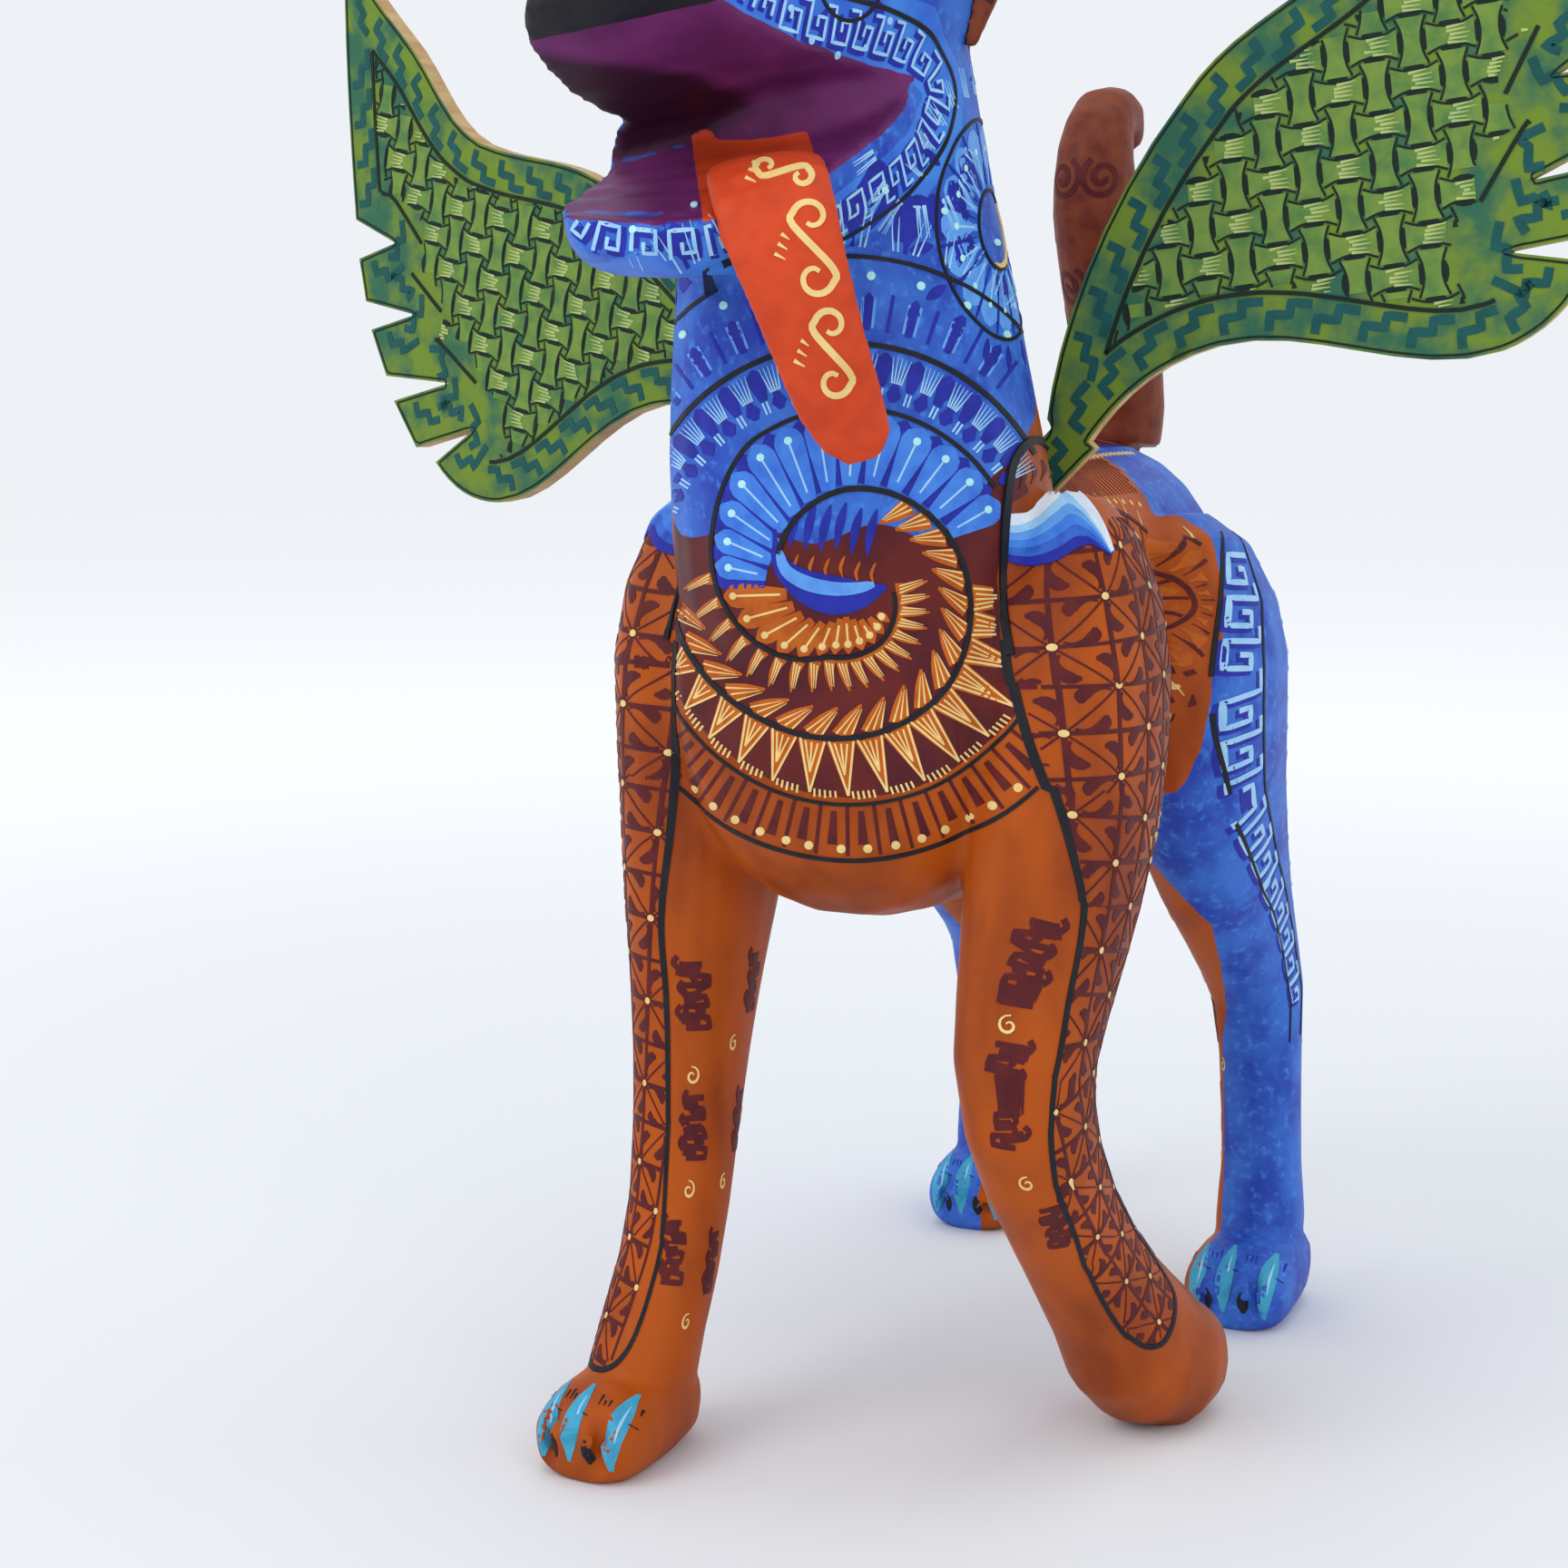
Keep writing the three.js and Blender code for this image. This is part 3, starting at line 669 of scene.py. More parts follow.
class Coat:
    """All strokes of one colour on one moving body: thin closed slabs that follow the skin."""

    def __init__(self, colour, body, name):
        self.colour, self.body, self.name = colour, body, name
        self.points, self.faces = [], []

    def ring(self, hits, lift):
        first = len(self.points)
        (a, na), (b, nb) = hits[0], hits[-1]
        self.points.append(a - na * SINK * MM)
        self.points.extend(p + n * lift * MM for p, n in hits)
        self.points.append(b - nb * SINK * MM)
        return list(range(first, len(self.points)))

    def skin(self, rings):
        size = len(rings[0])
        for a, b in zip(rings, rings[1:]):
            for k in range(size):
                n = (k + 1) % size
                self.faces.append((a[k], a[n], b[n], b[k]))
        self.faces.append(tuple(reversed(rings[0])))
        self.faces.append(tuple(rings[-1]))

    def stroke(self, canvas, path, width, layer=1, profile=None, smooth=True, columns=None, step=STEP):
        """A brush stroke along path. profile gives its share of width at 0 to 1."""
        line = spaced(path, step, smooth)
        if len(line) < 2:
            return
        lift = 0.06 + LAYER * layer
        many = columns or (2 if width < 2.2 else 4)
        rings, before = [], None
        last = len(line) - 1
        for k, (u, v) in enumerate(line):
            au, av = line[max(k - 1, 0)]
            bu, bv = line[min(k + 1, last)]
            du, dv = bu - au, bv - av
            length = math.hypot(du, dv) or 1.0
            half = width / 2 * max(profile(k / last) if profile else 1.0, 0.12)
            hits = []
            for c in range(many):
                off = half * (2 * c / (many - 1) - 1)
                hits.append(hit(canvas, u - dv / length * off, v + du / length * off))
            torn = None in hits or (
                before is not None and (hits[0][0] - before).length > JUMP * MM
            )
            if torn:
                if len(rings) > 1:
                    self.skin(rings)
                rings, before = [], None
                continue
            before = hits[0][0]
            rings.append(self.ring(hits, lift))
        if len(rings) > 1:
            self.skin(rings)

    def dot(self, canvas, u, v, radius, layer=3, squash=1.0):
        middle = hit(canvas, u, v)
        if middle is None:
            return
        around = []
        for k in range(10):
            angle = k * math.tau / 10
            around.append(hit(canvas, u + radius * math.cos(angle), v + radius * squash * math.sin(angle)))
        if None in around:
            return
        lift = 0.06 + LAYER * layer
        first = len(self.points)
        self.points.extend(p - n * SINK * MM for p, n in around)
        self.points.extend(p + n * lift * MM for p, n in around)
        self.points.append(middle[0] + middle[1] * (lift + 0.12) * MM)
        low_ring = list(range(first, first + 10))
        for k in range(10):
            n = (k + 1) % 10
            self.faces.append((low_ring[k], low_ring[n], low_ring[n] + 10, low_ring[k] + 10))
            self.faces.append((low_ring[k] + 10, low_ring[n] + 10, first + 20))
        self.faces.append(tuple(reversed(low_ring)))

    def finish(self, slot):
        if not self.faces:
            return
        mesh = bpy.data.meshes.new(self.name)
        mesh.from_pydata([tuple(p) for p in self.points], [], self.faces)
        made = bmesh.new()
        made.from_mesh(mesh)
        bmesh.ops.recalc_face_normals(made, faces=made.faces)
        made.to_mesh(mesh)
        object_of(self.name, mesh, self.body, MATERIALS[self.colour])


def spaced(path, step, smooth):
    """The path's points at even steps, through a smooth curve if it has corners to round."""
    points = [Vector((p[0], p[1], 0)) for p in path]
    rounded = smooth and len(points) > 2
    ends = [points[0] * 2 - points[1], *points, points[-1] * 2 - points[-2]]
    found = [(points[0].x, points[0].y)]
    for a, b, c, d in zip(ends, ends[1:], ends[2:], ends[3:]):
        count = max(3 if rounded else 1, math.ceil((c - b).length / step))
        for k in range(1, count + 1):
            t = k / count
            p = b.lerp(c, t)
            if rounded:
                p = (2 * b + (c - a) * t + (2 * a - 5 * b + 4 * c - d) * t**2) * 0.5
                p = p + (3 * b - a - 3 * c + d) * (0.5 * t**3)
            gap = math.hypot(p.x - found[-1][0], p.y - found[-1][1])
            if gap >= step * 0.55 or (k == count and gap > 0.05):
                found.append((p.x, p.y))
    return found


COATS = {}


def ink(colour, body="figure", area="body"):
    key = (colour, body, area)
    if key not in COATS:
        COATS[key] = Coat(colour, body, f"{area}_{colour}_strokes")
    return COATS[key]


def lens(t):
    return math.sin(math.pi * min(max(t, 0.03), 0.97)) ** 0.7


def leaf(t):
    """Thin where it starts, full and round towards its end."""
    return max(0.18, math.sin(math.pi * t**1.9) ** 0.75) if t < 0.985 else 0.3


def taper(t):
    return 1.0 - 0.75 * t


def flame(t):
    """Broad where it starts, with a fine tip."""
    return max(0.0, 1 - t) ** 0.7


def lobe(t):
    """A petal: it widens outwards and ends round."""
    tip = max(0.0, (t - 0.74) / 0.26)
    return (0.45 + 0.55 * min(t / 0.7, 1)) * math.sqrt(max(0.0, 1 - tip * tip))


def polar(radius, degrees):
    return radius * math.cos(math.radians(degrees)), radius * math.sin(math.radians(degrees))


def arc(radius, start, end, step=6):
    count = max(2, round(abs(end - start) / step))
    return [polar(radius, start + (end - start) * k / count) for k in range(count + 1)]


def jitter(amount):
    return rng.uniform(-amount, amount)


# ---- Chest and neck -----------------------------------------------------------------------------

# Radius of the two arms of the chest's spiral at angles going clockwise.
ARM_A = [
    (150, 17), (90, 22.5), (45, 25), (0, 28), (-45, 31.5), (-90, 33), (-120, 34.5), (-135, 35.8),
    (-160, 39), (-185, 42)
]
ARM_B = [
    (0, 11), (-52, 13.9), (-106, 15), (-146, 22.3), (-187, 29.8), (-210, 33.7), (-236, 39), (-270, 40.2),
    (-325, 41)
]


def arm(table, degrees):
    return float(np.interp(-degrees, [-a for a, _ in table], [r for _, r in table]))


def arm_path(table):
    first, last = table[0][0], table[-1][0]
    count = round((first - last) / 8)
    return [
        polar(arm(table, first + (last - first) * k / count), first + (last - first) * k / count)
        for k in range(count + 1)
    ]


def tuft(canvas, radius, degrees, length, width, lean, fill="orange", hatch="cream", lines=3):
    """A short flame that points outwards, with fine hatching."""
    start = polar(radius, degrees)
    tip = polar(radius + length, degrees + lean)
    middle = polar(radius + length * 0.5, degrees + lean * 0.35)
    ink(fill).stroke(canvas, [start, middle, tip], width, 1, flame)
    for k in range(lines):
        share = (k + 0.5) / lines - 0.5
        a = polar(radius + length * 0.12, degrees + share * width * 0.75 * 57 / radius)
        b = polar(radius + length * 0.85, degrees + lean + share * width * 0.3 * 57 / radius)
        ink(hatch).stroke(canvas, [a, b], 0.42, 2, taper)


def chest(canvas):
    black, cream = ink("black"), ink("cream")
    # Petals between the two arms, brown below and blue above.
    for degrees in np.arange(-178, -20, 13.2):
        inner = float(np.interp(degrees, [-180, -90, -20], [13, 5.2, 9.5]))
        outer = arm(ARM_B, degrees) - 0.8
        width = outer * math.radians(13.2) * 0.90
        ink("orange").stroke(
            canvas, [polar(inner, degrees), polar(outer, degrees)], width, 1, lobe, columns=5
        )
        cream.stroke(canvas, [polar(inner + 1.5, degrees), polar(outer - 2.4, degrees)], 0.5, 2)
        cream.dot(canvas, *polar(outer - 2.2, degrees), 0.85, 3)
    for degrees in np.arange(168, 22, -11.5):
        inner = arm(ARM_A, degrees) + 0.8
        outer = arm(ARM_B, degrees - 360) - 0.8
        side, width = degrees + 5.75, outer * math.radians(11.5)
        ink("deep_blue").stroke(
            canvas, [polar(inner, side), polar(outer, side)], width * 0.75, 1, lobe, columns=4
        )
        ink("lip").stroke(
            canvas, [polar(inner, degrees), polar(outer, degrees)], width * 0.88, 2, lobe, columns=5
        )
        ink("deep_blue").stroke(canvas, [polar(inner, side), polar(outer - 4, side)], 0.8, 3, taper)
        ink("pale_blue").stroke(canvas, [polar(inner + 2, degrees), polar(outer - 3.4, degrees)], 0.45, 3)
        ink("aqua").dot(canvas, *polar(outer - 3.2, degrees), 0.9, 4)
    # Tufts outside arm B, tufts inside arm A.
    for degrees in np.arange(-186, 8, 10.5):
        tuft(canvas, arm(ARM_B, degrees) + 0.4, degrees, 7.2, 2.9, 5)
    for degrees in np.arange(-172, 62, 12.0):
        r = arm(ARM_A, degrees)
        start, tip = polar(r - 0.4, degrees - 3), polar(r - 7.4, degrees + 7)
        ink("orange").stroke(canvas, [start, polar(r - 4.2, degrees + 1), tip], 4.6, 1, flame, columns=4)
        for k in range(3):
            a = polar(r - 0.9, degrees - 5 + 3.2 * k)
            cream.stroke(canvas, [a, polar(r - 6.4, degrees + 4.5 + 1.2 * k)], 0.45, 2, taper)
    # Triangles outside arm A, with rounded maroon lobes between them.
    for degrees in np.arange(-168, 2, 11.0):
        r = arm(ARM_A, degrees)
        top = 46.5 - r
        if top < 4:
            continue
        base_a, base_b = polar(r + 0.6, degrees - 4.8), polar(r + 0.6, degrees + 4.8)
        tip = polar(46.2, degrees + 2.4)
        centre = polar(r + 0.6, degrees)
        ink("orange").stroke(canvas, [centre, tip], 6.6, 1, lambda t: 1 - 0.93 * t, columns=4, smooth=False)
        for corner in (base_a, base_b):
            cream.stroke(canvas, [corner, tip], 0.5, 2, smooth=False)
        inner_tip = polar(r + top * 0.62, degrees + 1.4)
        for off in (-2.4, 0.0, 2.4):
            cream.stroke(canvas, [polar(r + 1.2, degrees + off), inner_tip], 0.4, 2, smooth=False)
        for k in range(5):
            a = degrees + 3.6 + 1.5 * k
            cream.stroke(canvas, [polar(45.2, a), polar(47.0 + jitter(0.3), a + 0.3)], 0.45, 2)
    # The comma in the middle.
    tail = [(-15.6, 14), (-14.6, 7), (-10.2, 2.4), (-3.8, -0.4), (3, -0.6), (9.2, 1.2)]
    ink("deep_blue").stroke(
        canvas, tail, 8.6, 3, lambda t: max(0.08, math.sin(math.pi * min(t, 0.98) ** 1.5) ** 0.8), columns=6
    )
    ink("sky").stroke(
        canvas, [(-14.6, 9.5), (-13, 5.0), (-8.6, 2.2), (-3, 0.9), (2, 0.9), (6.6, 1.8)], 3.2, 5,
        lambda t: 0.35 + 0.65 * math.sin(math.pi * t) ** 0.5, columns=4
    )
    for k in range(6):
        a = (-10.5 + 3.4 * k, 9.5 - 0.4 * k + jitter(0.6))
        ink("orange").stroke(
            canvas, [(a[0], a[1] - 5.5), (a[0] - 0.6, a[1] - 3), (a[0] + 0.4, a[1] - 0.6)], 0.8, 2, lens
        )
        ink("deep_blue").stroke(
            canvas, [(a[0] - 1.6, a[1] + 1), (a[0] - 0.8, a[1] + 6), (a[0] + 0.6, a[1] + 11)], 2.0, 1, lens
        )
    black.stroke(canvas, arm_path(ARM_A), 1.25, 5)
    black.stroke(canvas, arm_path(ARM_B), 0.95, 5)
    # Bands under the spiral.
    black.stroke(canvas, arc(48.3, -162, -20), 0.75, 5)
    for k, degrees in enumerate(np.arange(-160, -20, 3.55)):
        if k % 2:
            ink("maroon").stroke(
                canvas, [polar(50, degrees), polar(58 + jitter(0.8), degrees)], 2.2, 2,
                lambda t: 0.55 + 0.45 * t
            )
        else:
            ink("maroon").stroke(canvas, [polar(48.8, degrees), polar(60.5, degrees)], 0.8, 2)
    for degrees in np.arange(-152, -26, 6.1):
        cream.dot(canvas, *polar(58.8, degrees + jitter(0.7)), 1.05, 3)
    black.stroke(canvas, arc(61.6, -150, -30), 0.95, 5)


def fan(canvas):
    """The rings of the blue fan on the front of the neck."""
    black, pale = ink("black"), ink("pale_blue")
    black.stroke(canvas, arc(54, 150, 36), 1.15, 5)
    black.stroke(canvas, arc(72.5, 140, 52), 0.9, 5)
    for k, degrees in enumerate(np.arange(150, 34, -8.2)):
        a, b = polar(42.5, degrees), polar(47.5, degrees)
        ink("deep_blue").stroke(canvas, [b, a], 3.4, 2, leaf, columns=4)
        ink("deep_blue").stroke(
            canvas, [polar(45.5, degrees + 4), polar(52.8, degrees + 4)], 4.0, 2, lobe, columns=4
        )
        for off in (-1.6, -0.8, 0, 0.8, 1.6):
            pale.stroke(
                canvas, [polar(46.6, degrees + off * 0.8), polar(52.3, degrees + off * 1.4)], 0.42, 3, taper
            )
        for off in (3.4, 4.6):
            pale.stroke(canvas, [polar(42.5, degrees + off), polar(45.2, degrees + off)], 0.42, 3)
    for k, degrees in enumerate(np.arange(136, 50, -4.6)):
        ink("deep_blue").stroke(
            canvas, [polar(57, degrees), polar(65.5 + jitter(1), degrees)], 3.0 if k % 2 else 0.7, 2,
            lobe if k % 2 else None
        )
        if k % 2:
            ink("aqua").dot(canvas, *polar(68.6, degrees), 0.95, 4)
            for off in (-1.2, 1.2):
                ink("sky").stroke(canvas, [polar(57.5, degrees + off), polar(64, degrees + off)], 0.6, 2)
    for k, degrees in enumerate(np.arange(134, 52, -9.0)):
        ink("deep_blue").stroke(canvas, [polar(74.4, degrees), polar(83.5, degrees)], 5.0, 2, leaf, columns=4)
        for off in (-2.6, -1.6, 1.6, 2.6):
            pale.stroke(
                canvas, [polar(74.5, degrees + off * 0.8), polar(82, degrees + off * 1.2)], 0.42, 3, taper
            )
        ink("aqua").dot(canvas, *polar(86, degrees + 4.5), 0.8, 4)


def rosette(canvas, radius, petals, ring="black"):
    """A ring of petals with lines and dots round an open middle."""
    ink(ring).stroke(canvas, arc(radius * 0.36, 0, 360, 20), 0.8, 5)
    ink(ring).stroke(canvas, arc(radius, 0, 360, 12), 0.8, 5)
    for k in range(petals):
        degrees = k * 360 / petals
        a, b = polar(radius * 0.40, degrees), polar(radius * 0.94, degrees)
        ink("sky").stroke(canvas, [a, b], radius * 0.34, 2, leaf, columns=4)
        half = 180 / petals
        ink("deep_blue").stroke(
            canvas, [polar(radius * 0.42, degrees + half), polar(radius * 0.97, degrees + half)], 1.0, 3,
            leaf
        )
        ink("pale_blue").stroke(
            canvas, [polar(radius * 0.45, degrees), polar(radius * 0.7, degrees)], 0.45, 3
        )
        ink("aqua").dot(canvas, *polar(radius * 0.74, degrees), 0.8, 4)


def neck_side(canvas):
    rosette(canvas, 24.5, 16)
    cut_moon = [polar(7.0, a) for a in range(-110, 60, 20)]
    ink("cream").stroke(canvas, [(x * 1.15, y * 1.15) for x, y in cut_moon], 1.5, 6, lens)
    for k in range(7):
        a = math.radians(95 + 13 * k)
        u, v = 30 * math.cos(a), 30 * math.sin(a)
        for off in (-1.2, 0, 1.2):
            ink("pale_blue").stroke(canvas, [(u + off, v), (u * 1.22 + off, v * 1.22)], 0.42, 3, taper)
    for k in range(12):
        degrees = 150 + 20 * k
        ink("deep_blue").stroke(canvas, [polar(26, degrees), polar(32, degrees)], 2.6, 2, lens)


# ---- Legs ---------------------------------------------------------------------------------------


def lattice(canvas, columns, rows, cell, tilt):
    """A grid whose crossings carry, by turns, a dot with diagonals and pairs of curved leaves."""
    c, s = math.cos(tilt), math.sin(tilt)

    def spot(i, j):
        x, y = i * cell, j * cell
        return x * c - y * s, x * s + y * c

    maroon = ink("maroon")
    for i in range(*columns):
        for j in range(*rows):
            here = spot(i, j)
            for other in ((i + 1, j), (i, j + 1)):
                maroon.stroke(canvas, [here, spot(*other)], 0.95 + jitter(0.15), 2, smooth=False, step=1.8)
            even = (i + j) % 2 == 0
            if even:
                ink("cream").dot(canvas, *here, 0.85, 4)
            a, b = ((i, j), (i + 1, j + 1)) if even else ((i + 1, j), (i, j + 1))
            pa, pb = spot(*a), spot(*b)
            maroon.stroke(canvas, [pa, pb], 0.42, 2, smooth=False, step=1.8)
            du, dv = (pb[0] - pa[0]) / cell, (pb[1] - pa[1]) / cell
            for start, sign in ((pa, 1), (pb, -1)):
                path = []
                for along, off in ((0.13, 0.04), (0.19, 0.15), (0.30, 0.23), (0.44, 0.24), (0.53, 0.17)):
                    u = start[0] + sign * (du * along - dv * off) * cell
                    v = start[1] + sign * (dv * along + du * off) * cell
                    path.append((u, v))
                maroon.stroke(canvas, path, 2.6, 2, leaf, step=0.9)


def cloud(canvas, u, v, size, seed):
    """A stepped scroll: a ribbon that goes to and fro on its way down, with a hook or two."""
    local = random.Random(seed)
    path, side = [], 1
    for k in range(7):
        y = v + (k / 6 - 0.5) * size * 1.7
        reach = size * local.uniform(0.22, 0.5)
        x = u + (0.25 - k / 12) * size * 0.6
        path.extend([(x - side * reach, y), (x + side * reach, y + 0.4)])
        side = -side
    ink("maroon").stroke(canvas, path, 1.5, 2, smooth=False, step=0.8)
    for k in range(5):
        x, y = path[2 * k + 2][0] * 0.4 + u * 0.6, v + (k / 4 - 0.5) * size * 1.35
        long = size * local.uniform(0.16, 0.34)
        ink("maroon").stroke(
            canvas, [(x - long, y), (x + long, y + local.uniform(-1, 2))], 2.7, 2, smooth=False, step=0.9
        )
        hook = [(x + long, y), (x + long + 1.4, y - 1.6), (x + long + 0.4, y - 3.2)]
        ink("maroon").stroke(canvas, hook, 1.4, 2, step=0.8)


def curl(canvas, u, v, size, flip=1, colour="cream"):
    path = []
    for k in range(13):
        t = k / 12
        angle = math.radians(-100 + 430 * t)
        r = size * (1 - 0.78 * t)
        path.append((u + flip * r * math.cos(angle), v + r * math.sin(angle)))
    ink(colour).stroke(canvas, path, size * 0.3, 3, lambda t: 0.45 + 0.55 * math.sin(math.pi * t), step=0.9)


FRONT_STATIONS = {
    "right": [
        (-48, 56, 246), (-48, 58, 196), (-47, 53, 166), (-47, 48, 136), (-47, 44, 108), (-47.5, 41, 82),
        (-48.5, 36, 52), (-51, 30, 32), (-52.5, 25, 16)
    ],
    "left": [
        (48, 56, 246), (49, 54, 196), (49, 51, 170), (48, 45, 144), (47, 38, 124), (46.5, 34, 106),
        (47, 42, 84), (48.5, 58, 62), (51, 77, 40), (54, 92, 23)
    ],
}


PANEL_EDGE = {  # how far down the leg, and how far out from its front the panel starts
    "right": [
        (2, -6), (8, -6), (27, -3), (42, -5), (73, -4), (95, -3), (116, -1), (134, -2), (156, -3),
        (180, -4), (204, -5), (222, -3)
    ],
    "left": [
        (2, -5.5), (10, -4.5), (26, -5), (40, -3), (59, 0.5), (73, 4), (89, 9), (105, 14), (123, 15.5),
        (141, 15), (154, 12.5), (179, 12.5), (205, 11), (224, 13)
    ],
}


def front_leg(which, side):
    canvas = Round(SKIN_TREE, FRONT_STATIONS[which], 20, side)
    edge = PANEL_EDGE[which]
    ends = edge[-1][0]

    def left_edge(v):
        return float(np.interp(v, [a for a, _ in edge], [b for _, b in edge]))

    first = edge[-1][1]
    panel = Round(SKIN_TREE, FRONT_STATIONS[which], 20, side)
    panel.graze = 0.3
    panel.mask = lambda u, v: (
        left_edge(v) < u < 58 - 0.03 * v
        and v > 12
        and (v < ends or math.hypot((u - first - 15) / 15.5, (v - ends) / 9) < 1)
    )
    lattice(panel, (-2, 8), (-1, 24), 10.4, math.radians(-6))
    rounded = [(first + 6, ends + 8), (first + 16, ends + 9), (first + 26, ends + 6), (first + 30, ends - 6)]
    back = [(42, ends - 30), (48, 150), (56, 100), (58, 60), (52, 26)]
    ink("black").stroke(canvas, [(b, a) for a, b in edge if a > 36] + rounded + back, 1.5, 5)
    spots = {
        "right": [(-10, 133, 9), (-13, 166, 9), (-10.5, 198, 9)],
        "left": [(5, 117, 9), (2, 143, 10), (8, 175, 8)]
    }
    curls = {"right": [(-10.5, 153), (-13, 182)], "left": [(2.5, 130), (4.5, 163)]}
    for k, (u, v, size) in enumerate(spots[which]):
        cloud(canvas, u, v, size, 11 * k + side)
    for u, v in curls[which]:
        curl(canvas, u, v, 2.4, -1)
    for k, (u, v) in enumerate([(-34, 130), (-38, 165), (-30, 200), (-55, 150), (-56, 190)]):
        cloud(canvas, u, v, 8, 31 * k + side)
        curl(canvas, u + 8, v + 15, 2.2)


def shoulder(canvas):
    """Waves of white to dark blue over the top of the shoulder."""
    crest = [(-14, -8.6), (-8, -7), (-4.2, -3.2), (0, 0), (4.2, -4), (8, -11), (10, -16)]
    hollow = [(-14, -18), (-8.5, -19.6), (-3, -18.6), (1.2, -16), (5, -14.6), (8, -15.6), (10, -16.6)]
    colours = ("white", "pale_blue", "sky", "lip", "blue", "deep_blue")
    for k, colour in enumerate(colours):
        share = (k + 0.5) / len(colours)
        path = [(a[0] + (b[0] - a[0]) * share, a[1] + (b[1] - a[1]) * share) for a, b in zip(crest, hollow)]
        ink(colour).stroke(
            canvas, path, 3.5, 13 - k, lambda t: 0.75 if t < 0.7 else 0.75 - 1.6 * (t - 0.7), columns=4,
            step=1.2
        )
    arch = [
        (-13.4, -40), (-14.6, -30), (-15, -18), (-14.4, -6), (-12.6, 4), (-8, 9.6), (-2.8, 10.6), (0, 8.6)
    ]
    ink("black").stroke(canvas, arch, 1.7, 14)
    for k in range(4):
        base = (-11 + 3.0 * k, -2 + 1.6 * k)
        ink("maroon").stroke(
            canvas, [base, (base[0] + 1.2, base[1] + 3), (base[0] + 0.4, base[1] + 5)], 1.5, 2, leaf,
            step=1.0
        )


def toes(centre, heading, half, blue):
    """Turquoise wedges between the toes, black claws and a few dashes."""
    canvas = Flat(SKIN_TREE, centre, heading, 32, reach=50)
    for u in (-0.68 * half, -0.08 * half, 0.74 * half):
        ink("turquoise").stroke(canvas, [(u, 9.5), (u, 1), (u, -10)], 4.6, 2, lens, columns=4)
        ink("pale_blue").stroke(canvas, [(u + 0.5, 6), (u + 0.8, -4)], 0.6, 3, lens)
        ink("black").stroke(canvas, [(u + 1.9, 1.5), (u + 3.6, 1.0)], 1.1, 4, lens)
    for k in (-1.05, -0.38, 0.34, 1.02):
        u = k * half
        ink("black").stroke(canvas, [(u - 0.3, -5.0), (u, -9.6)], 2.8, 3, lens, columns=4)
        for off in (-1.2, 0.2, 1.4):
            ink("black" if not blue else "deep_blue").stroke(
                canvas, [(u + off, 6.5 + jitter(0.8)), (u + off + 0.2, 4.4)], 0.5, 3, taper
            )


# ---- Frets --------------------------------------------------------------------------------------

HOOK = [(0.0, -1), (0.0, 1), (0.64, 1), (0.64, -0.25), (0.32, -0.25), (0.32, 0.35)]
STEP_KEY = [(0.0, -0.9), (0.0, 0.1), (0.42, 0.1), (0.42, 0.9), (0.86, 0.9)]


def fret(coat_, canvas, path, half, period, unit, width, layer=2, join=False):
    """Repeats unit along a path; unit is (share of the period, share of the half width)."""
    line = spaced(path, 0.8, True)
    lengths = [0.0]
    for a, b in zip(line, line[1:]):
        lengths.append(lengths[-1] + math.hypot(b[0] - a[0], b[1] - a[1]))
    xs, ys = [p[0] for p in line], [p[1] for p in line]

    def place(s, t):
        x, y = np.interp(s, lengths, xs), np.interp(s, lengths, ys)
        x1, y1 = np.interp(s + 1, lengths, xs), np.interp(s + 1, lengths, ys)
        x0, y0 = np.interp(s - 1, lengths, xs), np.interp(s - 1, lengths, ys)
        length = math.hypot(x1 - x0, y1 - y0) or 1.0
        return x - (y1 - y0) / length * t * half, y + (x1 - x0) / length * t * half

    count = int(lengths[-1] / period)
    for k in range(count):
        points = [place((k + s) * period, t) for s, t in unit]
        if join:
            points.insert(0, place((k - 0.36) * period if k else 0.0, unit[0][1]))
        coat_.stroke(canvas, points, width, layer, smooth=False, step=1.5)


# ---- Head ---------------------------------------------------------------------------------------


class HeadSide(Canvas):
    """A cheek seen square on: u forwards and v up, both in the head's own frame."""

    def __init__(self, side):
        self.tree, self.side, self.steep, self.graze = SKIN_TREE, side, 0.86, 0.32
        self.view = (out_of_head((0, 0, 0)) - out_of_head((side, 0, 0))).normalized()

    def mask(self, u, v):
        """Nothing is drawn inside the open mouth."""
        edges = [np.array([station[which][1] for station in MOUTH]) for which in (0, 1)]
        top, bottom = (np.interp(u, line[:, 0], line[:, 1]) for line in edges)
        return u < 12 or not bottom < v < top

    def cast(self, u, v):
        skew = 0 if self.side > 0 else 1
        return out_of_head((self.side * 60, u + MOUTH_SKEW[0] * skew, v + MOUTH_SKEW[1] * skew)), self.view


